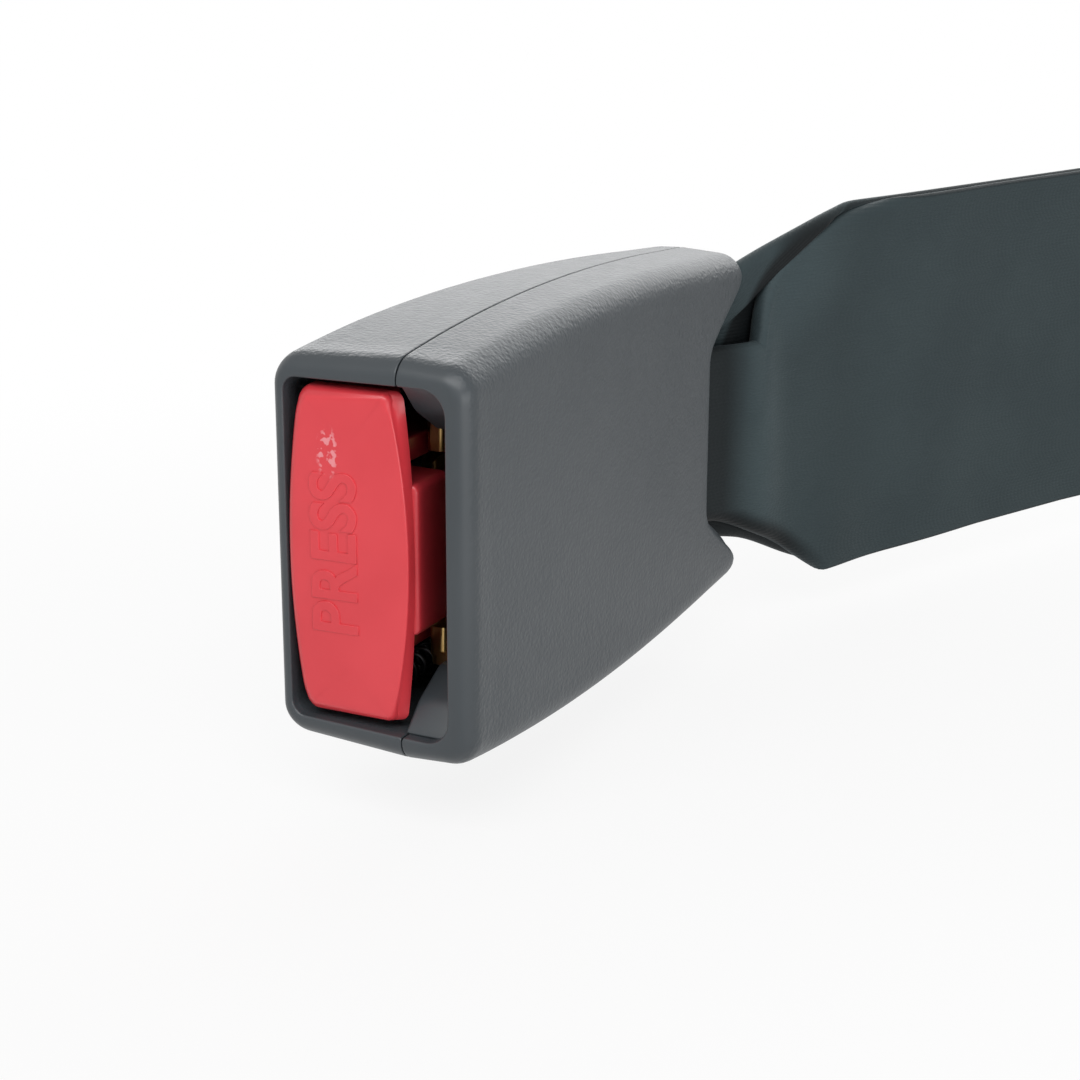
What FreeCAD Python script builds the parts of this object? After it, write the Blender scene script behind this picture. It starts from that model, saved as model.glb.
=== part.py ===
"""Seat belt buckle on a short webbing strap, with its press button, latch and floor anchor.

Frame: +X runs from the button end to the strap end, +Z across the buckle's width, +Y from the
tongue slot towards the button. The origin is the middle of the slot's mouth. Millimetres.
"""
import FreeCAD
import Part
import math
import os

# Webbing, whose standard width sets the scale
WEBBING_WIDTH = 47.0
WEBBING_THICKNESS = 1.2

# Housing, two moulded covers that meet on a seam plane
HOUSING_LENGTH = 67.0
FRONT_HALF_WIDTH = 20.45
SIDE_BULGE = 2.05
NEAR_FACE = -4.8
SEAM = 3.15
FAR_FACE_FRONT = 18.0
FAR_FACE_REAR = 9.3
FAR_FACE_CROWN = 0.7
DRAFT = 0.055
CORNER_RADIUS = 3.2
FRONT_EDGE_RADIUS = 2.3
REAR_EDGE_RADIUS = 1.2
SIDE_WALL = 2.4
FAR_WALL = 2.1
NEAR_WALL = 1.25
COVER_FLOOR = NEAR_FACE + NEAR_WALL
CORE_BEVEL = 1.0
WELL_HALF_WIDTH = 17.9
BUTTON_WELL_TOP = 16.75
BUTTON_WELL_DEPTH = 12.4
MOUTH_HALF_WIDTH = 17.2
MOUTH_TOP = 4.9
HOOK_PLACES = (15.0, 50.5)

# Tongue slot
SLOT_HALF_HEIGHT = 2.05
SILL_DEPTH = 7.4

# Steel frame
STEEL = 1.5
BASE_TOP = -SLOT_HALF_HEIGHT
FRAME_START = 9.2
WALL_OUTER = 13.4
WALL_INNER = WALL_OUTER - STEEL
LOW_WALL_TOP = 5.2
HIGH_WALL_TOP = 11.0
HIGH_WALL_START = 20.0
HIGH_WALL_END = 46.0
BAR_START = 53.5
BAR_END = 57.5
BAR_MIDDLE = 0.9

# Latch, locked by a bar that slides over its shoulder
PIVOT_X = 39.0
PIVOT_Y = 4.4
PIN_RADIUS = 1.2
RUNNING_CLEARANCE = 0.05
LATCH_LIFT = 13.0
LATCH_HALF_WIDTH = 8.0
TOOTH_HALF_WIDTH = 5.0
LOCK_X = 34.0
LOCK_Y = 7.5
LOCK_RADIUS = 1.6
LOCK_TRAVEL = 6.0
LOCK_HALF_LENGTH = 16.8
LOCK_SPRING_Z = 15.2
SPRING_RIB = 44.6

# Press button
BUTTON_HALF_WIDTH = 17.0
BUTTON_FRONT = 0.45
BUTTON_DEPTH = 4.9
BUTTON_NEAR_EDGE = 2.12
BUTTON_FAR_EDGE = 16.3
BUTTON_CORNER = 1.2
BUTTON_TRAVEL = 6.0
BLOCK_HALF_WIDTH = 7.8
LEG_INNER = 8.5
LEG_OUTER = 11.1
LEG_END = 20.0
BLOCK_END = 8.5
CAP_STEP = 2.8
STEP_HEIGHT = 5.6
BUTTON_SPRING_Z = 15.6
BUTTON_SPRING_Y = 9.5
BUTTON_RIB = 22.2

# Ejector
EJECTOR_FRONT = 14.0
EJECTOR_HALF_WIDTH = 11.1
EJECTOR_REAR = 27.0
EJECTOR_HALF_HEIGHT = 1.7
EJECTOR_POCKET = 23.5
SPRING_SEAT = 43.0

# Strap, which bends at the housing's rear mouth and ends on the floor anchor
BEND_X = 65.5
BEND_Y = 1.5
ROOT_RADIUS = 2.3
STRAP_ANGLE = -24.1
STRAP_LENGTH = 118.0
LAYER_GAP = 0.15
NECK_HALF_WIDTH = 11.5
LOOP_RADIUS = 3.2

# Floor anchor
PLATE_THICKNESS = 3.0
ANCHOR_HALF_WIDTH = 28.5
ANCHOR_SLOT_HALF_WIDTH = 24.6
BOLT_HOLE_RADIUS = 6.0
BOLT_DISTANCE = 27.0
ANCHOR_END_RADIUS = 14.5

# Turn of a spring's wire between two of its flat-faced lengths, in degrees
COIL_STEP = 51.4

X_AXIS = FreeCAD.Vector(1, 0, 0)
Y_AXIS = FreeCAD.Vector(0, 1, 0)
Z_AXIS = FreeCAD.Vector(0, 0, 1)


def vec(x, y, z):
    return FreeCAD.Vector(x, y, z)


def box(x, y, z):
    """Block between pairs of limits along each axis."""
    return Part.makeBox(x[1] - x[0], y[1] - y[0], z[1] - z[0], vec(x[0], y[0], z[0]))


def both_sides(shape):
    """The shape and its mirror image across the buckle's width."""
    return [shape, shape.mirror(vec(0, 0, 0), Z_AXIS)]


def rounded_wire(corners, place):
    """Closed outline through (a, b, radius) corners, rounded by tangent arcs and put in space."""
    edges = []
    ends = []
    count = len(corners)
    for i in range(count):
        a, b, radius = corners[i]
        here = vec(a, b, 0)
        before = vec(corners[i - 1][0], corners[i - 1][1], 0) - here
        after = vec(corners[(i + 1) % count][0], corners[(i + 1) % count][1], 0) - here
        half_angle = before.getAngle(after) / 2
        if radius == 0:
            ends.append((here, here, here))
            continue
        reach = radius / math.tan(half_angle)
        start = here + before.normalize() * reach
        stop = here + after.normalize() * reach
        bisector = (before + after).normalize()
        middle = here + bisector * (radius / math.sin(half_angle) - radius)
        ends.append((start, middle, stop))
    for i in range(count):
        start, middle, stop = ends[i]
        if corners[i][2] > 0:
            edges.append(Part.Arc(place(start), place(middle), place(stop)).toShape())
        following = ends[(i + 1) % count][0]
        if (following - stop).Length > 1e-6:
            edges.append(Part.LineSegment(place(stop), place(following)).toShape())
    return Part.Wire(edges)


def prism(corners, place, direction):
    """Solid made by pushing a rounded outline along a direction."""
    return Part.Face(rounded_wire(corners, place)).extrude(direction)


def side_profile(corners, half_width, start=None):
    """Outline in the X-Y plane made as wide as the part across Z."""
    low = -half_width if start is None else start
    return prism(corners, lambda p: vec(p.x, p.y, low), Z_AXIS * (half_width - low))


def plan_profile(corners, low, high):
    """Outline in the X-Z plane made as thick as the part along Y."""
    return prism(corners, lambda p: vec(p.x, low, p.y), Y_AXIS * (high - low))


def front_profile(corners, start, stop):
    """Outline in the Y-Z plane made as long as the part along X."""
    return prism(corners, lambda p: vec(start, p.x, p.y), X_AXIS * (stop - start))


def cylinder_z(x, y, radius, low, high):
    return Part.makeCylinder(radius, high - low, vec(x, y, low), Z_AXIS)


def half_width(share):
    """Half of the housing's width at a share of its length: a barrel bulge over a straight side."""
    return FRONT_HALF_WIDTH + SIDE_BULGE * 4 * share * (1 - share) * (1 + 0.1 * (1 - 2 * share))


def far_face(share):
    """Height of the button-side face: a straight fall with a slight crown."""
    fall = (FAR_FACE_REAR - FAR_FACE_FRONT) * share
    return FAR_FACE_FRONT + fall + FAR_FACE_CROWN * 4 * share * (1 - share)


def housing_wire(x, side, near, far, radius, bevel=0):
    """Cross-section of the housing, inset by its walls, with drafted flanks and rounded or cut corners."""
    share = min(max(x / HOUSING_LENGTH, 0), 1)
    half = half_width(share) - side
    low = NEAR_FACE + near
    high = far_face(share) - far
    low_half = half - DRAFT * (SEAM - low)
    high_half = half - DRAFT * (high - SEAM)
    corners = [
        (low, -low_half, radius),
        (SEAM, -half, 0),
        (high, -high_half, radius + share),
        (high, high_half, radius + share),
        (SEAM, half, 0),
        (low, low_half, radius),
    ]
    if bevel > 0:
        corners = [
            (low, bevel - low_half, 0),
            (low + bevel, -low_half, 0),
            (SEAM, -half, 0),
            (high - bevel, -high_half, 0),
            (high, bevel - high_half, 0),
            (high, high_half - bevel, 0),
            (high - bevel, high_half, 0),
            (SEAM, half, 0),
            (low + bevel, low_half, 0),
            (low, low_half - bevel, 0),
        ]
    return rounded_wire(corners, lambda p: vec(x, p.x, p.y))


def round_off(x, radius, turns):
    """Places (x, inset) down a quarter round that ends a body at x; a negative radius faces the rear."""
    places = []
    for i in range(turns + 1):
        angle = math.pi / 2 * i / turns
        places.append((x + radius * (1 - math.cos(angle)), abs(radius) * (1 - math.sin(angle))))
    return places


def housing_skin():
    """Outside of the housing: spans along the barrel with its front and rear edges rounded off."""
    places = round_off(0, FRONT_EDGE_RADIUS, 3)
    spans = 6
    start = FRONT_EDGE_RADIUS
    stop = HOUSING_LENGTH - REAR_EDGE_RADIUS
    for i in range(1, spans):
        places.append((start + (stop - start) * i / spans, 0))
    places += reversed(round_off(HOUSING_LENGTH, -REAR_EDGE_RADIUS, 2))
    wires = [housing_wire(x, inset, inset, inset, CORNER_RADIUS - inset) for x, inset in places]
    return Part.makeLoft(wires, True, True)


def housing_core(start, stop, side, near, far):
    """Body inside the housing, inset by the wall on each side."""
    spans = 4
    wires = []
    for i in range(spans + 1):
        x = start + (stop - start) * i / spans
        wires.append(housing_wire(x, side, near, far, 0, CORE_BEVEL))
    return Part.makeLoft(wires, True, True)


def housing_shell():
    """Both covers in one piece: the moulded skin with its front opening and rear mouth."""
    cavity = housing_core(-1, 64.5, SIDE_WALL, NEAR_WALL, FAR_WALL)
    well = front_profile(
        [
            (SEAM, -WELL_HALF_WIDTH, 0),
            (BUTTON_WELL_TOP, 0.3 - WELL_HALF_WIDTH, 1.5),
            (BUTTON_WELL_TOP, WELL_HALF_WIDTH - 0.3, 1.5),
            (SEAM, WELL_HALF_WIDTH, 0),
        ],
        -1,
        BUTTON_WELL_DEPTH,
    )
    ceiling = side_profile(
        [
            (-1, SEAM, 0),
            (BUTTON_WELL_DEPTH, SEAM, 0),
            (BUTTON_WELL_DEPTH, BUTTON_WELL_TOP - 1.1, 0),
            (BUTTON_FRONT + BUTTON_TRAVEL + 1.0, BUTTON_WELL_TOP - 0.1, 0),
            (-1, BUTTON_WELL_TOP, 0),
        ],
        20,
    )
    mouth = front_profile(
        [
            (COVER_FLOOR, -MOUTH_HALF_WIDTH, 1.5),
            (MOUTH_TOP, -MOUTH_HALF_WIDTH, 1.5),
            (MOUTH_TOP, MOUTH_HALF_WIDTH, 1.5),
            (COVER_FLOOR, MOUTH_HALF_WIDTH, 1.5),
        ],
        60,
        HOUSING_LENGTH + 1,
    )
    return housing_skin().cut([cavity, well.common(ceiling), mouth])


def button_section(depth, inset):
    """Section of the press button at a depth behind its face, its bowed long sides in short straight runs.

    The near side bows most at the face, so its flank leans outwards at both ends."""
    near_bow = 1.9 - 1.1 * min(depth / 2.35, 1)
    near = BUTTON_NEAR_EDGE + inset
    far = BUTTON_FAR_EDGE - 0.2 * depth - inset
    middle = BUTTON_HALF_WIDTH - inset - BUTTON_CORNER
    runs = 8
    half = []
    for i in range(runs // 2, runs + 1):
        share = 2 * i / runs - 1
        half.append((near + near_bow * share ** 2, middle * share))
    for angle in (30, 60, 90):
        a = math.radians(angle)
        half.append((near + near_bow + BUTTON_CORNER * (1 - math.cos(a)), middle + BUTTON_CORNER * math.sin(a)))
    for angle in (90, 60, 30):
        a = math.radians(angle)
        half.append((far - 1.1 - BUTTON_CORNER * (1 - math.cos(a)), middle + BUTTON_CORNER * math.sin(a)))
    for i in range(runs, runs // 2 - 1, -1):
        share = 2 * i / runs - 1
        half.append((far - 1.1 * share ** 2, middle * share))
    points = [vec(BUTTON_FRONT + depth, y, z) for y, z in half]
    points += [vec(BUTTON_FRONT + depth, y, -z) for y, z in reversed(half[1:-1])]
    return Part.makePolygon(points + [points[0]])


def slot_guides():
    """Ramps that fill the ends of the slot and lead the tongue to the middle."""
    end = SILL_DEPTH + 1.2
    side = 18.6
    ramp = plan_profile(
        [(1.3, WELL_HALF_WIDTH, 0), (7.0, 12.3, 1.0), (end, 12.3, 0), (end, side, 0), (1.3, side, 0)],
        BASE_TOP - 0.5,
        SEAM,
    )
    room = Part.Face(button_section(BUTTON_DEPTH, -0.3)).extrude(X_AXIS * 40).translate(X_AXIS * -20)
    return both_sides(ramp.cut(room))


def near_cover(shell):
    """Cover on the tongue side: flat face, sill, guide ramps, snap hooks and the strap notch."""
    half = box((-5, HOUSING_LENGTH + 5), (NEAR_FACE - 5, SEAM), (-40, 40))
    cover = shell.common(half)
    sill = front_profile(
        [
            (COVER_FLOOR - 0.3, -18.6, 0),
            (BASE_TOP, -18.6, 0),
            (BASE_TOP, 18.6, 0),
            (COVER_FLOOR - 0.3, 18.6, 0),
        ],
        FRONT_EDGE_RADIUS * 0.4,
        SILL_DEPTH,
    )
    corner_fill = both_sides(
        plan_profile(
            [(0.9, 15.6, 0), (SILL_DEPTH, 15.6, 0), (SILL_DEPTH, 18.6, 0), (0.9, 18.6, 0)],
            BASE_TOP - 0.5,
            0.6,
        )
    )
    throat = front_profile(
        [(BASE_TOP, -18.0, 2.6), (SEAM + 6, -18.0, 0), (SEAM + 6, 18.0, 0), (BASE_TOP, 18.0, 2.6)],
        -1,
        SILL_DEPTH + 1,
    )
    lining = sill.fuse(corner_fill).cut(throat)
    notch = plan_profile(
        [(58.7, -10.5, 3.0), (58.7, 10.5, 3.0), (72, 19.5, 0), (72, -19.5, 0)],
        NEAR_FACE - 2,
        COVER_FLOOR + 0.4,
    )
    ribs = both_sides(box((16, 40), (COVER_FLOOR - 0.2, 1.2), (15.0, 16.2)))
    cover = cover.fuse([lining] + slot_guides() + ribs + snap_hooks())
    return cover.cut(notch).removeSplitter()


def hook_place(x):
    """Inner face of the side wall, where a snap hook stands."""
    return half_width(x / HOUSING_LENGTH) - SIDE_WALL


def snap_hooks():
    """Hooks of the near cover that spring into the far cover's windows."""
    hooks = []
    for x in HOOK_PLACES:
        inner = hook_place(x)
        stem = box((x - 2.5, x + 2.5), (0.5, 7.6), (inner - 1.9, inner - 0.8))
        foot = box((x - 2.5, x + 2.5), (-1.5, 1.6), (inner - 1.9, inner + 0.8))
        barb = prism(
            [(5.6, inner - 1.0, 0), (5.6, inner + 0.3, 0), (7.6, inner - 1.0, 0)],
            lambda p: vec(x - 2.5, p.x, p.y),
            X_AXIS * 5.0,
        )
        hooks += both_sides(stem.fuse([foot, barb]))
    return hooks


def far_cover(shell):
    """Cover on the button side: the falling crowned face, spring ribs, hook windows and rear lip."""
    half = box((-5, HOUSING_LENGTH + 5), (SEAM, FAR_FACE_FRONT + 5), (-40, 40))
    cover = shell.common(half)
    core = housing_core(0, HOUSING_LENGTH, SIDE_WALL - 0.5, 0, FAR_WALL - 0.5)
    ribs = both_sides(box((SPRING_RIB, SPRING_RIB + 1.6), (5.2, 20), (13.9, 25)))
    ribs += both_sides(box((BUTTON_RIB, BUTTON_RIB + 1.5), (6.6, 20), (13.9, 25)))
    ribs.append(box((60.2, 61.6), (5.2, 20), (-25, 25)))
    web = box((47.5, 61.0), (7.2, 20), (-0.7, 0.7))
    for z in (-9.0, 0.0, 9.0):
        ribs.append(web.copy().translate(vec(0, 0, z)))
    trimmed = [rib.common(core) for rib in ribs]
    windows = []
    for x in HOOK_PLACES:
        inner = hook_place(x)
        windows += both_sides(box((x - 2.8, x + 2.8), (5.3, 8.0), (inner - 2, inner + 0.9)))
    return cover.fuse(trimmed).cut(windows).removeSplitter()


def frame():
    """Bent steel channel that carries the load: base, walls, tongue lugs and the strap bar."""
    bar_low = BAR_MIDDLE - STEEL / 2
    floor = BASE_TOP - STEEL
    side = [
        (FRAME_START, floor, 0),
        (45.5, floor, 1.6),
        (49.0, bar_low, 1.6),
        (BAR_END, bar_low, 0.6),
        (BAR_END, bar_low + STEEL, 0.6),
        (48.4, bar_low + STEEL, 0.4),
        (44.9, BASE_TOP, 0.4),
        (FRAME_START, BASE_TOP, 0),
    ]
    strip = side_profile(side, 17.0)
    outline = [
        (FRAME_START, -WALL_OUTER, 1.0),
        (44.0, -WALL_OUTER, 2.0),
        (47.0, -16.8, 2.0),
        (BAR_END, -16.8, 2.0),
        (BAR_END, 16.8, 2.0),
        (47.0, 16.8, 2.0),
        (44.0, WALL_OUTER, 2.0),
        (FRAME_START, WALL_OUTER, 1.0),
    ]
    base = strip.common(plan_profile(outline, floor - 1, 5))
    window = box((15.2, 21.2), (floor - 1, BASE_TOP + 1), (-5.6, 5.6))
    strap_slot = box((50.2, BAR_START), (-3, 4), (-12.8, 12.8))
    wall_side = [
        (FRAME_START, floor, 0),
        (HIGH_WALL_END - 3, floor, 0),
        (HIGH_WALL_END, -0.5, 0),
        (HIGH_WALL_END, 7.0, 2.5),
        (41.5, HIGH_WALL_TOP, 2.5),
        (HIGH_WALL_START + 3, HIGH_WALL_TOP, 2.0),
        (HIGH_WALL_START, LOW_WALL_TOP, 1.5),
        (FRAME_START, LOW_WALL_TOP, 1.0),
    ]
    wall = side_profile(wall_side, WALL_OUTER, WALL_INNER)
    lock_slot = side_profile(
        [
            (LOCK_X - LOCK_TRAVEL - LOCK_RADIUS - 0.3, LOCK_Y - LOCK_RADIUS - 0.3, 1.6),
            (LOCK_X + LOCK_RADIUS + 0.3, LOCK_Y - LOCK_RADIUS - 0.3, 1.6),
            (LOCK_X + LOCK_RADIUS + 0.3, LOCK_Y + LOCK_RADIUS + 0.3, 1.6),
            (LOCK_X - LOCK_TRAVEL - LOCK_RADIUS - 0.3, LOCK_Y + LOCK_RADIUS + 0.3, 1.6),
        ],
        WALL_OUTER + 1,
        WALL_INNER - 1,
    )
    pin_hole = cylinder_z(PIVOT_X, PIVOT_Y, PIN_RADIUS, WALL_INNER - 1, WALL_OUTER + 1)
    wall = wall.cut([lock_slot, pin_hole])
    lug = side_profile(
        [
            (FRAME_START, 3.2, 0.6),
            (12.4, 3.2, 0),
            (12.4, LOW_WALL_TOP, 0),
            (FRAME_START, LOW_WALL_TOP, 0.6),
        ],
        WALL_INNER + 0.5,
        9.3,
    )
    body = base.fuse(both_sides(wall) + both_sides(lug))
    return body.cut([window, strap_slot]).removeSplitter()


def latch():
    """Locking plate on its pivot: knuckle, plate, shoulder and the tooth that holds the tongue."""
    top = PIVOT_Y
    under = PIVOT_Y - 2.2
    plate_side = [
        (PIVOT_X, under, 0),
        (PIVOT_X, top, 0),
        (PIVOT_X - 9.4, top, 0.8),
        (PIVOT_X - 11.4, top + 1.1, 0.4),
        (PIVOT_X - 13.4, top + 1.1, 0.6),
        (PIVOT_X - 15.6, top, 0.8),
        (PIVOT_X - 24.0, top, 0.8),
        (PIVOT_X - 24.0, under, 0.3),
    ]
    plate = side_profile(plate_side, LATCH_HALF_WIDTH)
    tooth_side = [
        (PIVOT_X - 23.0, top - 0.5, 0),
        (PIVOT_X - 23.0, top - 7.7, 0.4),
        (PIVOT_X - 20.4, top - 7.0, 0.4),
        (PIVOT_X - 20.4, top - 0.5, 0),
    ]
    tooth = side_profile(tooth_side, TOOTH_HALF_WIDTH)
    plan = [
        (PIVOT_X - 24.5, -6.6, 2.0),
        (PIVOT_X - 24.5, 6.6, 2.0),
        (PIVOT_X - 14.0, LATCH_HALF_WIDTH, 3.0),
        (PIVOT_X + 4, LATCH_HALF_WIDTH, 0),
        (PIVOT_X + 4, -LATCH_HALF_WIDTH, 0),
        (PIVOT_X - 14.0, -LATCH_HALF_WIDTH, 3.0),
    ]
    trim = plan_profile(plan, -10, 20)
    knuckle = cylinder_z(PIVOT_X, PIVOT_Y, 2.2, -LATCH_HALF_WIDTH, LATCH_HALF_WIDTH)
    bore = cylinder_z(PIVOT_X, PIVOT_Y, PIN_RADIUS + RUNNING_CLEARANCE, -20, 20)
    relief = plan_profile(
        [
            (PIVOT_X - 8.0, -3.5, 1.5),
            (PIVOT_X - 3.2, -3.5, 1.5),
            (PIVOT_X - 3.2, 3.5, 1.5),
            (PIVOT_X - 8.0, 3.5, 1.5),
        ],
        -5,
        10,
    )
    body = plate.fuse([tooth, knuckle]).common(trim).cut([bore, relief]).removeSplitter()
    body.rotate(vec(PIVOT_X, PIVOT_Y, 0), Z_AXIS, -LATCH_LIFT)
    return body


def latch_pin():
    """Pivot pin pressed through both frame walls."""
    return cylinder_z(PIVOT_X, PIVOT_Y, PIN_RADIUS, -WALL_OUTER - 1.3, WALL_OUTER + 1.3)


def pin_clips():
    """Push-on retaining rings outside the frame walls, with twelve-sided rims."""
    corners = []
    for i in range(12):
        angle = math.radians(15 + 30 * i)
        corners.append((PIVOT_X + 2.5 * math.cos(angle), PIVOT_Y + 2.5 * math.sin(angle), 0))
    ring = side_profile(corners, WALL_OUTER + 0.7, WALL_OUTER)
    hole = cylinder_z(PIVOT_X, PIVOT_Y, PIN_RADIUS, WALL_OUTER - 1, WALL_OUTER + 2)
    return Part.makeCompound(both_sides(ring.cut(hole)))


def lock_bar():
    """Round steel bar that slides over the latch's shoulder."""
    return cylinder_z(LOCK_X, LOCK_Y, LOCK_RADIUS, -LOCK_HALF_LENGTH, LOCK_HALF_LENGTH)


def lock_slide():
    """Plastic saddle that keeps the bar square as it slides."""
    saddle = side_profile(
        [
            (LOCK_X - 2.7, LOCK_Y + 0.6, 0.4),
            (LOCK_X + 2.7, LOCK_Y + 0.6, 0.4),
            (LOCK_X + 2.7, LOCK_Y + 3.0, 0.8),
            (LOCK_X - 2.7, LOCK_Y + 3.0, 0.8),
        ],
        7.4,
    )
    groove = cylinder_z(LOCK_X, LOCK_Y, LOCK_RADIUS, -20, 20)
    pocket = box((LOCK_X - 1.5, LOCK_X + 1.5), (LOCK_Y + 2.2, LOCK_Y + 4), (-5.5, 5.5))
    return saddle.cut([groove, pocket])


def coil_rings(length, radius, wire, first_angle, last_angle):
    """Square wire sections set round a helix that runs along +X from the origin."""
    count = round((last_angle - first_angle) / COIL_STEP)
    half = wire / 2
    rings = []
    for i in range(count + 1):
        angle = math.radians(first_angle + (last_angle - first_angle) * i / count)
        outward = vec(0, math.cos(angle), math.sin(angle))
        middle = X_AXIS * (half + (length - wire) * i / count) + outward * radius
        ring = []
        for along, across in ((-half, -half), (half, -half), (half, half), (-half, half)):
            ring.append(middle + X_AXIS * along + outward * across)
        rings.append(ring)
    return rings


def wire_solid(rings):
    """Solid through square wire sections, in short straight lengths with flat faces."""
    faces = [flat(rings[0]), flat(rings[-1])]
    for i in range(len(rings) - 1):
        for j in range(4):
            k = (j + 1) % 4
            faces.append(flat([rings[i][j], rings[i][k], rings[i + 1][k]]))
            faces.append(flat([rings[i][j], rings[i + 1][k], rings[i + 1][j]]))
    solid = Part.makeSolid(Part.makeShell(faces))
    if solid.Volume < 0:
        solid.reverse()
    return solid


def coil(length, radius, wire, turns):
    """Coil spring along +X from the origin."""
    return wire_solid(coil_rings(length, radius, wire, 0, 360 * turns))


def flat(points):
    """Flat face through a closed run of points."""
    return Part.Face(Part.makePolygon(points + [points[0]]))


def lock_springs():
    """Springs that push the lock bar forward over the latch."""
    start = LOCK_X + LOCK_RADIUS
    springs = []
    for z in (-LOCK_SPRING_Z, LOCK_SPRING_Z):
        springs.append(coil(SPRING_RIB - start, 1.1, 0.5, 4).translate(vec(start, LOCK_Y, z)))
    return Part.makeCompound(springs)


def button_springs():
    """Springs that return the press button."""
    start = BUTTON_FRONT + BUTTON_DEPTH
    springs = []
    for z in (-BUTTON_SPRING_Z, BUTTON_SPRING_Z):
        springs.append(coil(BUTTON_RIB - start, 1.2, 0.5, 5).translate(vec(start, BUTTON_SPRING_Y, z)))
    return Part.makeCompound(springs)


def ejector_spring():
    """Spring that throws the tongue out."""
    return coil(SPRING_SEAT - EJECTOR_POCKET, 1.0, 0.5, 7).translate(vec(EJECTOR_POCKET, 0, 0))


def latch_springs():
    """Torsion springs on the pin beside the latch, with an arm along its edge and a tail to the seat."""
    wire = 0.6
    inner = LATCH_HALF_WIDTH + 0.5
    width = 2.4
    rings = coil_rings(width, 1.65, wire, LATCH_LIFT, 360 * 3)
    lift = math.radians(LATCH_LIFT)
    arm = vec(0, math.sin(lift), -math.cos(lift)) * 2.8
    tail = vec(0, 0, 5.2)
    rings = [[corner + arm for corner in rings[0]]] + rings + [[corner + tail for corner in rings[-1]]]
    spring = wire_solid(rings)
    spring.rotate(vec(0, 0, 0), Y_AXIS, 90)
    spring.translate(vec(PIVOT_X, PIVOT_Y, -inner))
    return Part.makeCompound(both_sides(spring))


def spring_seat():
    """Plastic block on the base that backs the ejector spring."""
    block = side_profile(
        [
            (SPRING_SEAT, BASE_TOP, 0),
            (SPRING_SEAT + 1.4, BASE_TOP, 0),
            (SPRING_SEAT + 4.4, 0.6, 0),
            (SPRING_SEAT + 3.4, 2.6, 0),
            (SPRING_SEAT, 2.6, 0),
        ],
        10.5,
    )
    spigot = Part.makeCylinder(0.6, 2.5, vec(SPRING_SEAT - 2.5, 0, 0), X_AXIS)
    pockets = both_sides(box((SPRING_SEAT + 0.9, SPRING_SEAT + 2.9), (0.2, 4), (1.2, 9.2)))
    posts = both_sides(box((SPRING_SEAT + 0.2, SPRING_SEAT + 1.6), (2.0, PIVOT_Y + 1.35), (10.0, 11.2)))
    return block.cut(pockets).fuse([spigot] + posts)


def ejector():
    """Sliding fork that the tongue pushes back and that pushes the tongue out."""
    plan = [
        (EJECTOR_FRONT, 6.0, 0.8),
        (EJECTOR_FRONT, EJECTOR_HALF_WIDTH, 1.5),
        (EJECTOR_REAR, EJECTOR_HALF_WIDTH, 0.8),
        (EJECTOR_REAR, -EJECTOR_HALF_WIDTH, 0.8),
        (EJECTOR_FRONT, -EJECTOR_HALF_WIDTH, 1.5),
        (EJECTOR_FRONT, -6.0, 0.8),
        (22.0, -6.0, 1.5),
        (22.0, 6.0, 1.5),
    ]
    fork = plan_profile(plan, -EJECTOR_HALF_HEIGHT, EJECTOR_HALF_HEIGHT)
    pocket = Part.makeCylinder(1.45, 10, vec(EJECTOR_POCKET, 0, 0), X_AXIS)
    return fork.cut(pocket)


def button():
    """Press button: crowned cap, central block beside the tongue and two legs that free the lock."""
    places = ((0, 0.6), (0.6, 0), (2.35, 0), (BUTTON_DEPTH, 0))
    cap = Part.makeLoft([button_section(depth, inset) for depth, inset in places], True, True)
    back = BUTTON_FRONT + BUTTON_DEPTH
    hollow = front_profile(
        [(7.2, -15.2, 0), (12.4, -15.2, 0), (12.4, 15.2, 0), (7.2, 15.2, 0)],
        BUTTON_FRONT + 2.2,
        back + 1,
    )
    block = front_profile(
        [
            (BUTTON_NEAR_EDGE, -BLOCK_HALF_WIDTH, 1.0),
            (14.0, -BLOCK_HALF_WIDTH, 1.0),
            (14.0, BLOCK_HALF_WIDTH, 1.0),
            (BUTTON_NEAR_EDGE, BLOCK_HALF_WIDTH, 1.0),
        ],
        BUTTON_FRONT + 2.0,
        BLOCK_END,
    )
    block_hollow = front_profile(
        [(3.7, -6.3, 0), (12.6, -6.3, 0), (12.6, 6.3, 0), (3.7, 6.3, 0)],
        BUTTON_FRONT + 2.2,
        BLOCK_END + 1,
    )
    steps = both_sides(box((CAP_STEP, 12), (0, STEP_HEIGHT), (BLOCK_HALF_WIDTH, 20)))
    leg = side_profile(
        [
            (BUTTON_FRONT + 2.0, STEP_HEIGHT, 0),
            (LEG_END, STEP_HEIGHT, 0.8),
            (LEG_END, 11.0, 0.8),
            (BUTTON_FRONT + 2.0, 11.0, 0),
        ],
        LEG_OUTER,
        LEG_INNER,
    )
    base = vec(BUTTON_FRONT + 2.0, BUTTON_SPRING_Y, BUTTON_SPRING_Z)
    spigot = Part.makeCylinder(0.75, 5, base, X_AXIS)
    boss = box((base.x, back), (base.y - 1.4, base.y + 1.4), (base.z - 1.4, base.z + 1.0))
    body = cap.cut([hollow] + steps)
    body = body.fuse([block] + both_sides(leg) + both_sides(spigot) + both_sides(boss))
    return body.cut(block_hollow).removeSplitter()


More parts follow.
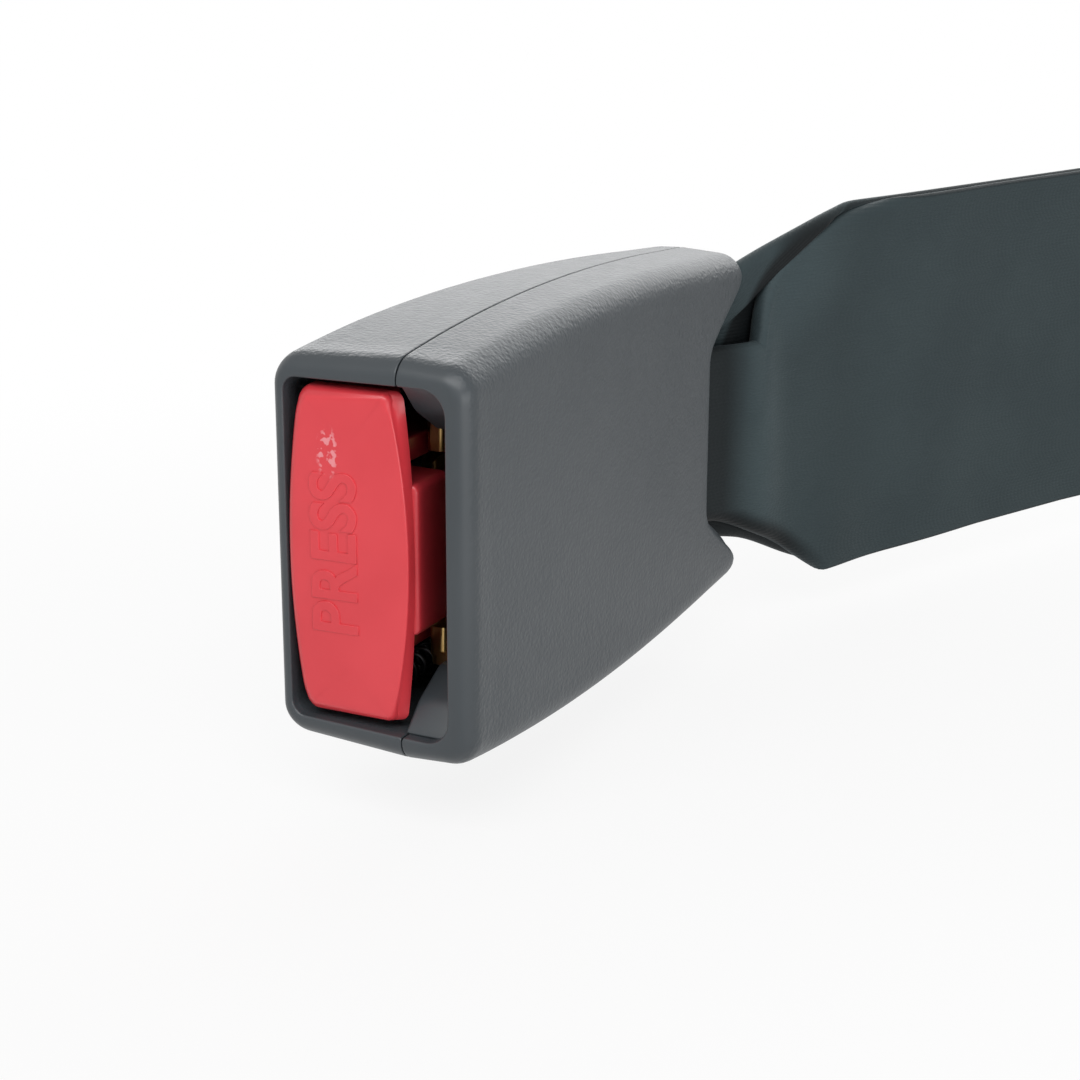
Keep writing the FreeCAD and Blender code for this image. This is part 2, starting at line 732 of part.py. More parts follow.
def strap_bar_sleeve():
    """Plastic sleeve clipped on the frame's bar, which spares the webbing."""
    outer = side_profile(
        [
            (BAR_START - 0.5, BAR_MIDDLE - 1.3, 1.2),
            (BAR_END + 0.5, BAR_MIDDLE - 1.3, 1.2),
            (BAR_END + 0.5, BAR_MIDDLE + 1.3, 1.2),
            (BAR_START - 0.5, BAR_MIDDLE + 1.3, 1.2),
        ],
        11.7,
    )
    inside = side_profile(
        [
            (BAR_START, BAR_MIDDLE - STEEL / 2, 0),
            (BAR_END, BAR_MIDDLE - STEEL / 2, 0.6),
            (BAR_END, BAR_MIDDLE + STEEL / 2, 0.6),
            (BAR_START, BAR_MIDDLE + STEEL / 2, 0),
        ],
        20,
    )
    return outer.cut(inside)


def webbing_fold():
    """Webbing folded to half its width and turned round the frame's bar, inside the housing."""
    thick = 1.8
    inner = 1.3
    loop = [
        (62.7, BAR_MIDDLE - inner - thick, 0.5),
        (BAR_START - 0.5 - thick, BAR_MIDDLE - inner - thick, 2.8),
        (BAR_START - 0.5 - thick, BAR_MIDDLE + inner + thick, 2.8),
        (62.7, BAR_MIDDLE + inner + thick, 0.5),
        (62.7, BAR_MIDDLE + inner, 0.5),
        (BAR_START - 0.5, BAR_MIDDLE + inner, 1.2),
        (BAR_START - 0.5, BAR_MIDDLE - inner, 1.2),
        (62.7, BAR_MIDDLE - inner, 0.5),
    ]
    return side_profile(loop, NECK_HALF_WIDTH + 0.4)


def along_strap(shape):
    """Moves a shape drawn with the strap on +X at the origin to the strap's place at rest."""
    moved = shape.copy()
    moved.rotate(vec(0, 0, 0), Z_AXIS, STRAP_ANGLE)
    moved.translate(vec(BEND_X, BEND_Y, 0))
    return moved


def strap_outline(neck, shoulder, full):
    """Plan outline of a strap layer: a narrow neck that opens to the full webbing width."""
    half = WEBBING_WIDTH / 2
    end = STRAP_LENGTH + 1
    return [
        (-5, -neck, 0), (shoulder, -neck - 1.5, 6), (full, -half, 9), (end, -half, 0),
        (end, half, 0), (full, half, 9), (shoulder, neck + 1.5, 6), (-5, neck, 0),
    ]


def strap_layer(side, puff, outline):
    """One run of webbing: round root, puffed fold at the neck, flat run, parting round the end loop."""
    inner = LAYER_GAP
    outer = LAYER_GAP + WEBBING_THICKNESS
    rise = STRAP_LENGTH - 5
    profile = [
        (0.0, inner, 0),
        (20.0, inner, 0),
        (rise - 8, inner, 8),
        (rise, LOOP_RADIUS, 8),
        (STRAP_LENGTH, LOOP_RADIUS, 0),
        (STRAP_LENGTH, LOOP_RADIUS + WEBBING_THICKNESS, 0),
        (rise - 0.5, LOOP_RADIUS + WEBBING_THICKNESS, 8),
        (rise - 8.5, outer, 8),
        (27.0, outer, 14),
        (14.0, outer + puff, 10),
        (5.0, outer + puff * 0.7, 4),
        (0.0, outer + 0.2, 0),
    ]
    corners = []
    for s, n, radius in profile:
        corners.append((s, -side * n, radius))
    run = side_profile(corners, 30)
    root = cylinder_z(0, 0, ROOT_RADIUS, -30, 30)
    keep = box((-5, 5), (inner, 5), (-30, 30))
    if side > 0:
        keep = box((-5, 5), (-5, -inner), (-30, 30))
    run = run.fuse(root.common(keep)).common(plan_profile(outline, -20, 20))
    return along_strap(run.removeSplitter())


def strap_near_layer():
    """Webbing layer on the tongue side, whose neck is folded narrow and puffs out."""
    return strap_layer(1, 1.6, strap_outline(NECK_HALF_WIDTH, 13.0, 24.0))


def strap_far_layer():
    """Webbing layer on the button side, which spreads sooner."""
    return strap_layer(-1, 0.5, strap_outline(13.5, 11.0, 27.0))


def strap_end_loop():
    """Turn of the webbing round the anchor's bar."""
    half = WEBBING_WIDTH / 2
    tube = cylinder_z(STRAP_LENGTH, 0, LOOP_RADIUS + WEBBING_THICKNESS, -half, half)
    tube = tube.cut(cylinder_z(STRAP_LENGTH, 0, LOOP_RADIUS, -half - 1, half + 1))
    return along_strap(tube.common(box((STRAP_LENGTH, STRAP_LENGTH + 10), (-10, 10), (-30, 30))))


def strap_stitching():
    """Sewn block that joins the two layers in front of the end loop."""
    rows = []
    proud = LAYER_GAP + WEBBING_THICKNESS
    for z in (-19.0, -11.4, -3.8, 3.8, 11.4, 19.0):
        rows.append(box((82.0, 98.0), (-proud - 0.25, -proud), (z - 0.5, z + 0.5)))
        rows.append(box((82.0, 98.0), (proud, proud + 0.25), (z - 0.5, z + 0.5)))
    for s in (81.0, 98.0):
        rows.append(box((s, s + 1.0), (-proud - 0.25, -proud), (-19.5, 19.5)))
        rows.append(box((s, s + 1.0), (proud, proud + 0.25), (-19.5, 19.5)))
    upper = [row for row in rows if row.BoundBox.YMin > 0]
    lower = [row for row in rows if row.BoundBox.YMin < 0]
    blocks = [upper[0].fuse(upper[1:]).removeSplitter(), lower[0].fuse(lower[1:]).removeSplitter()]
    return along_strap(Part.makeCompound(blocks))


def anchor_plate():
    """Steel floor plate: bar and slot for the webbing loop, and the bolt hole."""
    reach = STRAP_LENGTH
    half = PLATE_THICKNESS / 2
    bolt = reach + BOLT_DISTANCE
    outline = [
        (reach - 2.0, -ANCHOR_HALF_WIDTH, 2.5),
        (reach - 2.0, ANCHOR_HALF_WIDTH, 2.5),
        (reach + 12.0, ANCHOR_HALF_WIDTH, 8.0),
        (bolt + ANCHOR_END_RADIUS, ANCHOR_END_RADIUS, 12.0),
        (bolt + ANCHOR_END_RADIUS, -ANCHOR_END_RADIUS, 12.0),
        (reach + 12.0, -ANCHOR_HALF_WIDTH, 8.0),
    ]
    plate = plan_profile(outline, -half, half)
    slot = plan_profile(
        [
            (reach + 2.0, -ANCHOR_SLOT_HALF_WIDTH, 0.5),
            (reach + 9.0, -ANCHOR_SLOT_HALF_WIDTH, 2.5),
            (reach + 9.0, ANCHOR_SLOT_HALF_WIDTH, 2.5),
            (reach + 2.0, ANCHOR_SLOT_HALF_WIDTH, 0.5),
        ],
        -5,
        5,
    )
    hole = Part.makeCylinder(BOLT_HOLE_RADIUS, 10, vec(bolt, -5, 0), Y_AXIS)
    return along_strap(plate.cut([slot, hole]))


def anchor_sleeve():
    """Round plastic sleeve on the anchor's bar, on which the webbing loop turns."""
    half = WEBBING_WIDTH / 2 + 0.3
    sleeve = cylinder_z(STRAP_LENGTH, 0, LOOP_RADIUS - 0.1, -half, half)
    thick = PLATE_THICKNESS / 2
    bar = box((STRAP_LENGTH - 2.0, STRAP_LENGTH + 2.0), (-thick, thick), (-30, 30))
    return along_strap(sleeve.cut(bar))


def main():
    os.makedirs("parts", exist_ok=True)
    shell = housing_shell()
    pieces = {
        "near_cover": near_cover(shell),
        "far_cover": far_cover(shell),
        "frame": frame(),
        "latch_pin": latch_pin(),
        "pin_clips": pin_clips(),
        "spring_seat": spring_seat(),
        "latch_springs": latch_springs(),
        "strap_bar_sleeve": strap_bar_sleeve(),
        "webbing_fold": webbing_fold(),
        "button": button(),
        "button_springs": button_springs(),
        "latch": latch(),
        "lock_bar": lock_bar(),
        "lock_slide": lock_slide(),
        "lock_springs": lock_springs(),
        "ejector": ejector(),
        "ejector_spring": ejector_spring(),
        "strap_near_layer": strap_near_layer(),
        "strap_far_layer": strap_far_layer(),
        "strap_end_loop": strap_end_loop(),
        "strap_stitching": strap_stitching(),
        "anchor_plate": anchor_plate(),
        "anchor_sleeve": anchor_sleeve(),
    }
    for name, shape in pieces.items():
        shape.exportStep("parts/" + name + ".step")
        print(name, "volume", round(shape.Volume, 1), "solids", len(shape.Solids), "valid", shape.isValid())


main()
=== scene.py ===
"""Looks of a seat belt buckle and its strap: fine surfaces, finishes, light and camera.

Shapes are worked out in millimetres in the part's own frame and become metres when a mesh is made.
"""
import math

import bmesh
import bpy
import numpy as np
from mathutils import Matrix, Vector


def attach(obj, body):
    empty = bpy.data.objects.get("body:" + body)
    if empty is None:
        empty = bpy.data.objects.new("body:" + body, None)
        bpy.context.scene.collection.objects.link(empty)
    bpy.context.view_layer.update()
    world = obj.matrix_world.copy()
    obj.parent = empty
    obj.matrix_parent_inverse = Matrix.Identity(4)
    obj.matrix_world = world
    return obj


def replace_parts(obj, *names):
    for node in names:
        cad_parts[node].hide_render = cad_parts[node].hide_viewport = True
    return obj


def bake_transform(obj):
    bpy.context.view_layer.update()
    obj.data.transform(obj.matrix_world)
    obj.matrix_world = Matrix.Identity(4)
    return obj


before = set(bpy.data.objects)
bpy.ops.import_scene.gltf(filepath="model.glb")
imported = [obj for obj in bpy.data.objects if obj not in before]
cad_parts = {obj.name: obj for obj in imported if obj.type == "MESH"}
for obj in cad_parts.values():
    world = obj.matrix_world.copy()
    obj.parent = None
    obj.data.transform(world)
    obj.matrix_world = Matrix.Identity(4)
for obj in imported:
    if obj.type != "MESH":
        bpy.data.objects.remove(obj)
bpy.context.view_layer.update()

MM = 0.001
WELD_DISTANCE = 2e-7

# Lengths are in millimetres from here to the springs, and in metres for the camera and the studio.

# Housing
LENGTH = 67.0
FRONT_HALF_WIDTH = 20.45
SIDE_BULGE = 2.05
NEAR_FACE = -4.8
SEAM = 3.15
SEAM_GAP = 0.08
SEAM_EDGE = 0.14
SEAM_TURN = 0.4
SEAM_TURN_END = 0.1
FAR_FACE_FRONT = 18.0
FAR_FACE_REAR = 9.3
FAR_FACE_CROWN = 0.7
DRAFT = 0.055
CORNER_RADIUS = 3.2
FRONT_ROUND_LENGTH = 2.3
FRONT_ROUND_INSET = 1.75
FAR_ROUND_SHARE = 0.83
FAR_FACE_DIP = 0.25
REAR_ROUND = 1.2
NEAR_REAR_INSET = 0.6
RIM_EDGE = 0.3
SIDE_WALL = 2.4
NEAR_WALL = 1.25
FAR_WALL = 2.1
SILL = -2.05
SILL_DEPTH = 7.4
WELL_TOP = 16.0
WELL_DEPTH = 12.4
WELL_FALL = 0.35
OPENING_NEAR_HALF = 18.0
OPENING_FAR_HALF = 17.6
OPENING_SEAM_HALF = 17.95
OPENING_NEAR_RADIUS = 2.6
OPENING_FAR_RADIUS = 1.5
MOUTH_HALF_WIDTH = 17.2
MOUTH_FAR_FACE = 4.9
MOUTH_RADIUS = 1.5
NOTCH_X = 58.7
NOTCH_HALF_WIDTH = 10.5
NOTCH_SLOPE = 1.48
EAR_LENGTH = 1.2

# Press button
BUTTON_HALF_WIDTH = 17.0
BUTTON_NEAR_EDGE = 2.5
BUTTON_FAR_EDGE = 15.8
BUTTON_NEAR_FRONT = 0.75
BUTTON_LEAN = 0.085
BUTTON_END_FALL = 0.3
BUTTON_FRONT_BOW = 1.9
BUTTON_BACK_BOW = 1.0
CAP_BACK = 2.2
WORD_LENGTH = 16.6
WORD_HEIGHT = 5.2
WORD_PLACE = (10.2, 0.2)
WORD_RELIEF = 3.4

# Strap
WEBBING_HALF_WIDTH = 23.5
WEBBING_THICKNESS = 1.2
LAYER_GAP = 0.15
FOLD_RADIUS = 0.72
BEND = np.array([65.5, 1.5])
STRAP_ANGLE = math.radians(-24.1)
STRAP_START = -9.0
STRAP_LENGTH = 118.0
LOOP_RADIUS = 3.2
SEWN_FROM = 81.3
SEWN_TO = 98.6
SEWN_HALF_WIDTH = 19.0
# Even share of painted shade on all webbing: the strap's painted shade darkens from this level and its
# painted light lightens from it
EVEN_PAINTED_SHADE = 0.3

# Webbing round the bar in the housing
BAR_PLACE = (53.0, 0.9)
BAR_RADIUS = 1.35
BAR_FOLD_REACH = 7.5
BAR_FOLD_HALF_WIDTH = 11.7
BAR_FOLD_RADIUS = 0.42
PRESSED_THICKNESS = 0.8

# Springs
WIRE_RADIUS = 0.25

# Camera, matched to the photograph
CAMERA_PLACE = (-0.18305, -0.10559, 0.07023)
CAMERA_RIGHT = (0.45479, -0.89059, 0.00236)
CAMERA_UP = (0.26839, 0.13958, 0.95315)
CAMERA_BACK = (-0.84919, -0.43285, 0.30250)
CAMERA_LENS = 76.73

# Studio: each lamp has a name, place, target, size and power
FLOOR_LEVEL = -0.0290
FLOOR_WHITE = 0.87
WORLD_LEVEL = 0.18
LAMPS = (
    ("back_lamp", (0.58, 0.14, 0.30), (0.03, 0.0, 0.0), (0.8, 0.4), 2.6),
    ("front_lamp", (-0.34, -0.10, 0.42), (0.0, 0.0, 0.0), (0.6, 0.3), 2.1),
    ("side_lamp", (-0.10, -0.18, 0.0), (0.0, 0.0, -0.01), (0.16, 0.12), 0.16),
)
FLOOR_REACH = 6.0


def unit(vectors):
    """Vectors made one long."""
    return vectors / np.maximum(np.linalg.norm(vectors, axis=-1, keepdims=True), 1e-12)


def smoothstep(low, high, value):
    """0 below low, 1 above high, and 3t^2 - 2t^3 between; it falls where low is the larger."""
    t = np.clip((value - low) / (high - low), 0, 1)
    return t * t * (3 - 2 * t)


def softplus(value, width):
    """A ramp that is 0 below 0 and rises one for one above, rounded over the given width."""
    return width * np.logaddexp(0, value / width)


def rounded_chain(corners, radii, turns, spans):
    """Sections through open chains of corners, as straight spans joined by tangent arcs.

    An arc of radius r at a corner of half angle h starts r / tan h before it, and its centre is
    r / sin h along the bisector. Rows are sections, so corners is (rows, corners, 2).
    """
    rows = [corners[:, :1]]
    last = corners[:, 0]
    share = np.linspace(0, 1, turns + 1)[None, :, None]
    for i in range(1, corners.shape[1] - 1):
        here = corners[:, i]
        before = unit(corners[:, i - 1] - here)
        after = unit(corners[:, i + 1] - here)
        half = np.arccos(np.clip((before * after).sum(-1), -1, 1)) / 2
        radius = radii[:, i]
        start = here + before * (radius / np.tan(half))[:, None]
        stop = here + after * (radius / np.tan(half))[:, None]
        centre = here + unit(before + after) * (radius / np.sin(half))[:, None]
        sweep = (np.pi - 2 * half)[:, None, None]
        lead = np.sin((1 - share) * sweep) * (start - centre)[:, None]
        trail = np.sin(share * sweep) * (stop - centre)[:, None]
        rows.append(between(last, start, spans[i - 1]))
        rows.append(centre[:, None] + (lead + trail) / np.sin(sweep))
        last = stop
    rows.append(between(last, corners[:, -1], spans[-1]))
    rows.append(corners[:, -1:])
    return np.concatenate(rows, axis=1)


def between(start, stop, count):
    """Points spaced evenly inside the straight line from start to stop, without its ends."""
    share = (np.arange(1, count + 1) / (count + 1))[None, :, None]
    return start[:, None] + (stop - start)[:, None] * share


def grid_faces(rows, columns, wrap_rows=False, wrap_columns=False):
    """Four-sided faces between neighbours of a grid of points, closed on itself where it wraps."""
    row = np.arange(rows if wrap_rows else rows - 1)[:, None]
    column = np.arange(columns if wrap_columns else columns - 1)[None, :]
    next_row = (row + 1) % rows
    next_column = (column + 1) % columns
    corners = [row * columns + column, next_row * columns + column,
               next_row * columns + next_column, row * columns + next_column]
    return np.stack([np.broadcast_to(c, (row.size, column.size)) for c in corners], -1).reshape(-1, 4)


class Patches:
    """Points and faces of one piece, gathered patch by patch."""

    def __init__(self):
        self.points = []
        self.faces = []
        self.tracks = []
        self.count = 0

    def add(self, points, faces, track=None):
        """Adds a patch, and for cloth each point's place along it, place across it and share of painted
        shade.
        """
        points = np.asarray(points, float).reshape(-1, 3)
        self.points.append(points)
        self.faces += [[int(i) + self.count for i in face] for face in faces]
        self.tracks.append(np.zeros_like(points) if track is None else track.reshape(-1, 3))
        self.count += len(points)
        return self

    def grid(self, points, wrap_rows=False, wrap_columns=False, caps="", track=None):
        """Adds a grid of points; caps names the ends, rows or columns, that a flat face closes."""
        rows, columns = points.shape[:2]
        faces = grid_faces(rows, columns, wrap_rows, wrap_columns).tolist()
        index = np.arange(rows * columns).reshape(rows, columns)
        if caps == "rows":
            faces += [index[0].tolist(), index[-1].tolist()]
        if caps == "columns":
            faces += [index[:, 0].tolist(), index[:, -1].tolist()]
        return self.add(points, faces, track)

    def mirrored(self):
        """Adds the mirror image of everything so far across the buckle's width."""
        points = np.concatenate(self.points) * (1, 1, -1)
        return self.add(points, list(self.faces), np.concatenate(self.tracks))


def weld(mesh):
    """Merges the points that faces share, and turns all faces outwards."""
    work = bmesh.new()
    work.from_mesh(mesh)
    bmesh.ops.remove_doubles(work, verts=work.verts, dist=WELD_DISTANCE)
    bmesh.ops.recalc_face_normals(work, faces=work.faces)
    work.to_mesh(mesh)
    work.free()


def linked(name, data):
    """New object of some data, in the scene."""
    made = bpy.data.objects.new(name, data)
    bpy.context.scene.collection.objects.link(made)
    return made


def finished(name, mesh, finish):
    """New object of a mesh that wears one finish."""
    mesh.materials.clear()
    mesh.materials.append(finish)
    made = linked(name, mesh)
    return made


def piece(name, patches, finish, sharp=32.0):
    """Object in metres whose shared edges are merged, faces point outwards and soft edges are smooth."""
    mesh = bpy.data.meshes.new(name)
    points = np.concatenate(patches.points) * MM
    mesh.from_pydata(points.tolist(), [], patches.faces)
    track = mesh.attributes.new("track", "FLOAT_VECTOR", "POINT")
    track.data.foreach_set("vector", np.concatenate(patches.tracks).astype(np.float32).ravel())
    weld(mesh)
    mesh.polygons.foreach_set("use_smooth", np.ones(len(mesh.polygons), bool))
    mesh.set_sharp_from_angle(angle=math.radians(sharp))
    return finished(name, mesh, finish)


class Value:
    """A socket's output; + - * / and the shading functions on it add Math nodes."""

    def __init__(self, finish, socket):
        self.finish = finish
        self.socket = socket

    def math(self, operation, other=0.0):
        """This value and another through one Math node."""
        return self.finish.node("Math", {"operation": operation}, {0: self, 1: other})

    def __add__(self, other):
        return self.math("ADD", other)

    __radd__ = __add__

    def __mul__(self, other):
        return self.math("MULTIPLY", other)

    __rmul__ = __mul__

    def __sub__(self, other):
        return self.math("SUBTRACT", other)

    def __rsub__(self, other):
        return self.finish.node("Math", {"operation": "SUBTRACT"}, {0: other, 1: self})

    def __truediv__(self, other):
        return self.math("DIVIDE", other)

    def __pow__(self, other):
        return self.math("POWER", other)

    def sin(self):
        """Sine of the value as an angle in radians."""
        return self.math("SINE")

    def absolute(self):
        """The value without its sign."""
        return self.math("ABSOLUTE")

    def step(self, low, high):
        """0 below low and 1 above high, smooth between."""
        settings = {"interpolation_type": "SMOOTHSTEP"}
        return self.finish.node("MapRange", settings, {"Value": self, "From Min": low, "From Max": high})


class Finish:
    """One procedural material, built up node by node around its main shader."""

    def __init__(self, name, **constants):
        self.material = bpy.data.materials.new(name)
        self.material.use_nodes = True
        self.tree = self.material.node_tree
        self.shader = self.tree.nodes["Principled BSDF"]
        for socket, value in constants.items():
            self.shader.inputs[socket.replace("_", " ")].default_value = value

    def node(self, kind, settings=None, inputs=None, output=0):
        """Adds a node of a type: its settings first, then the values or links of its inputs."""
        made = self.tree.nodes.new("ShaderNode" + kind)
        for key, value in (settings or {}).items():
            setattr(made, key, value)
        for key, value in (inputs or {}).items():
            self.feed(made.inputs[key], value)
        return Value(self, made.outputs[output])

    def feed(self, socket, value):
        """Links a value to an input, or sets a plain number or colour on it."""
        if isinstance(value, Value):
            self.tree.links.new(value.socket, socket)
        else:
            socket.default_value = value

    def place(self):
        """Point on the piece, in metres."""
        return self.node("TexCoord", None, None, "Object")

    def track(self):
        """Place along the cloth, place across it, both in millimetres, and its share of painted shade."""
        return self.axes(self.node("Attribute", {"attribute_name": "track"}, None, "Vector"))

    def scaled(self, vector, scale):
        """A vector times another, axis by axis."""
        return self.node("VectorMath", {"operation": "MULTIPLY"}, {0: vector, 1: scale})

    def axes(self, vector):
        """The three parts of a vector."""
        return [self.node("SeparateXYZ", None, {0: vector}, i) for i in range(3)]

    def noise(self, vector, scale, detail=2.0):
        """Soft noise between 0 and 1."""
        return self.node("TexNoise", None, {"Vector": vector, "Scale": scale, "Detail": detail}, "Fac")

    def cells(self, vector, scale):
        """Rounded cells: the distance to the nearest of their scattered middles, blended."""
        settings = {"feature": "SMOOTH_F1"}
        return self.node("TexVoronoi", settings, {"Vector": vector, "Scale": scale}, "Distance")

    def blend(self, share, first, second):
        """Colour that goes from the first to the second as share goes from 0 to 1."""
        return self.node("Mix", {"data_type": "RGBA"}, {0: share, 6: first, 7: second}, 2)

    def bump(self, height, distance, strength, under=None):
        """Relief of the given height in metres, over another relief where one is named."""
        inputs = {"Height": height, "Distance": distance, "Strength": strength}
        if under is not None:
            inputs["Normal"] = under
        return self.node("Bump", None, inputs)

    def set(self, **sockets):
        """Feeds the main shader's inputs and returns the finished material."""
        for socket, value in sockets.items():
            self.feed(self.shader.inputs[socket.replace("_", " ")], value)
        return self.material


def cover_plastic(name, grain):
    """Dark grey moulding: pebble grain of the given strength, smooth on the lip round the opening."""
    finish = Finish(name, IOR=1.5)
    place = finish.place()
    depth = finish.axes(place)[0]
    grained = depth.step(0.0005, 0.0013)
    pebbles = finish.cells(place, 2300.0) + finish.noise(place, 3600.0, 2.0) * 0.7
    waves = finish.noise(place, 90.0, 2.0)
    cloud = finish.noise(place, 55.0, 3.0)
    colour = finish.blend(cloud.step(0.35, 0.65), (0.042, 0.051, 0.058, 1), (0.049, 0.058, 0.065, 1))
    relief = finish.bump(pebbles * grained, 0.00008, grain)
    relief = finish.bump(waves, 0.0001, 0.25, relief)
    roughness = 0.33 + depth.step(0.001, 0.006) * 0.08 + finish.noise(place, 700.0, 2.0) * 0.08
    return finish.set(Base_Color=colour, Roughness=roughness, Normal=relief)


def button_plastic():
    """Glossy red moulding with a faint unevenness in its gloss, one small pale painted highlight on its
    face,
    and painted shade: a deeper, darker red behind its face, where the slot shades it."""
    finish = Finish("button_plastic", IOR=1.5)
    place = finish.place()
    cloud = finish.noise(place, 120.0, 2.0)
    colour = finish.blend(cloud.step(0.3, 0.7), (0.70, 0.044, 0.058, 1), (0.74, 0.051, 0.066, 1))
    depth, y, z = finish.axes(place)
    # Painted highlight: a small pale patch on the face, broken up by noise
    off_centre = ((y - 0.011) / 0.0014) ** 2 + ((z - 0.0105) / 0.0030) ** 2
    painted_glint = (1 - off_centre).step(0.0, 0.7) * finish.noise(place, 1300.0, 2.0).step(0.52, 0.60)
    colour = finish.blend(painted_glint * 0.6, colour, (0.90, 0.42, 0.45, 1))
    # Painted shade: the red darkens behind the face, down in the slot
    colour = finish.blend(depth.step(0.0012, 0.0036) * 0.8, colour, (0.20, 0.012, 0.018, 1))
    relief = finish.bump(finish.noise(place, 140.0, 1.0), 0.0001, 0.2)
    roughness = 0.26 + finish.noise(place, 90.0, 2.0) * 0.08
    return finish.set(Base_Color=colour, Roughness=roughness, Normal=relief)


def dark_plastic():
    """Black moulding with a fine satin grain."""
    finish = Finish("dark_plastic", IOR=1.5)
    place = finish.place()
    grain = finish.noise(place, 2400.0, 2.0)
    colour = finish.blend(finish.noise(place, 200.0), (0.022, 0.022, 0.024, 1), (0.032, 0.032, 0.034, 1))
    relief = finish.bump(grain, 0.00003, 0.5)
    return finish.set(Base_Color=colour, Roughness=0.38 + grain * 0.2, Normal=relief)


def plated(name, dark, light, drawn, roughness):
    """Metal with a plated tint that drifts, and fine drawn lines along X."""
    finish = Finish(name, Metallic=1.0)
    place = finish.place()
    lines = finish.noise(finish.scaled(place, (60.0, drawn, drawn)), 1.0, 3.0)
    tint = finish.noise(place, 160.0, 3.0)
    colour = finish.blend(tint.step(0.35, 0.65), dark, light)
    relief = finish.bump(lines, 0.00001, 0.5)
    return finish.set(Base_Color=colour, Roughness=roughness + lines * 0.18, Normal=relief)


def coated_steel():
    """Black coating on pressed steel, slightly orange-peeled."""
    finish = Finish("plate_steel", IOR=1.5)
    place = finish.place()
    peel = finish.noise(place, 900.0, 3.0)
    colour = finish.blend(finish.noise(place, 120.0), (0.030, 0.031, 0.033, 1), (0.046, 0.047, 0.049, 1))
    relief = finish.bump(peel, 0.00003, 0.6)
    return finish.set(Base_Color=colour, Roughness=0.30 + peel * 0.2, Normal=relief)


def webbing(name, dark, light):
    """Woven belt: lengthwise yarn ribs crossed by a fine herringbone twill, with painted shade and
    painted light from the track's share.
    """
    finish = Finish(name, IOR=1.45, Specular_IOR_Level=0.28, Sheen_Weight=0.05, Sheen_Roughness=0.4)
    along, across, painted_shade = finish.track()
    ribs = (across * (2 * math.pi / 0.9)).sin().absolute()
    lean = (across * (math.pi / 5.8)).sin().absolute() * 1.6
    twill = ((along + lean) * (2 * math.pi / 0.75)).sin() * 0.5 + 0.5
    place = finish.place()
    fuzz = finish.noise(place, 5200.0, 2.0)
    drift = finish.noise(place, 70.0, 3.0)
    colour = finish.blend(drift.step(0.3, 0.7), dark, light)
    # Painted shade and painted light: the share darkens the cloth towards near black from an even level,
    # and lightens it where the share falls below zero
    colour = finish.blend(painted_shade * (1 - EVEN_PAINTED_SHADE) + EVEN_PAINTED_SHADE, colour, (0.002, 0.004, 0.005, 1))
    height = ribs * 0.6 + twill * ribs * 0.3 + fuzz * 0.25
    relief = finish.bump(height, 0.00007, 0.5)
    return finish.set(Base_Color=colour, Roughness=0.60 + fuzz * 0.15, Normal=relief)


def thread():
    """Sewing thread with a slight twist."""
    finish = Finish("thread", IOR=1.45, Sheen_Weight=0.2)
    place = finish.place()
    fuzz = finish.noise(place, 6000.0, 2.0)
    colour = finish.blend(fuzz, (0.018, 0.021, 0.022, 1), (0.040, 0.045, 0.047, 1))
    return finish.set(Base_Color=colour, Roughness=0.62, Normal=finish.bump(fuzz, 0.00004, 0.6))


def half_width(share):
    """Half of the housing's width along its length: a barrel bulge over a straight side."""
    return FRONT_HALF_WIDTH + SIDE_BULGE * 4 * share * (1 - share) * (1 + 0.1 * (1 - 2 * share))


def far_face(share):
    """Height of the button-side face: a straight fall with a slight crown."""
    fall = (FAR_FACE_REAR - FAR_FACE_FRONT) * share
    return FAR_FACE_FRONT + fall + FAR_FACE_CROWN * 4 * share * (1 - share)


def skin_rows(x, inset, near, turn_in):
    """Limits of the housing's section at each x: (x, face height, face half width, seam half width,
    corner radius, seam turn-in, seam edge radius), inset evenly from the outside."""
    share = np.clip(x / LENGTH, 0, 1)
    seam_half = half_width(share) - inset
    if near:
        face = NEAR_FACE + inset + 0 * x
        radius = CORNER_RADIUS - inset + 0 * x
        face_half = seam_half - DRAFT * (SEAM - face)
    else:
        dip = FAR_FACE_DIP * (1 - smoothstep(0, 14, x))
        face = far_face(share) - dip - inset * FAR_ROUND_SHARE
        radius = CORNER_RADIUS + share - inset
        face_half = seam_half - DRAFT * (face - SEAM)
    edge = np.full_like(x, SEAM_EDGE)
    return np.stack([x, face, face_half, seam_half, np.maximum(radius, 0.4), turn_in + 0 * x, edge], -1)


def opening_rows(x, grow, near):
    """Limits of the front opening's section at each x, grown evenly where its rim is rounded."""
    flat = np.zeros_like(x)
    face = SILL - grow if near else WELL_TOP - WELL_FALL * smoothstep(7.5, WELL_DEPTH, x) + grow
    half = (OPENING_NEAR_HALF if near else OPENING_FAR_HALF) + grow
    radius = (OPENING_NEAR_RADIUS if near else OPENING_FAR_RADIUS) + grow
    return np.stack([x, face + flat, half + flat, OPENING_SEAM_HALF + grow + flat, radius + flat,
                     flat - SEAM_TURN_END, flat + SEAM_EDGE], -1)


def wall_rows(x, near, seam_half=None, face=None, face_half=None, radius=1.0):
    """Limits of the inside of a cover at each x, from its walls or from a given opening."""
    share = np.clip(x / LENGTH, 0, 1)
    flat = np.zeros_like(x)
    if seam_half is None:
        seam_half = half_width(share) - SIDE_WALL
        face = NEAR_FACE + NEAR_WALL if near else far_face(share) - FAR_WALL
        face_half = seam_half - DRAFT * np.abs(SEAM - face)
    return np.stack([x, face + flat, face_half + flat, seam_half + flat, radius + flat, flat, flat], -1)


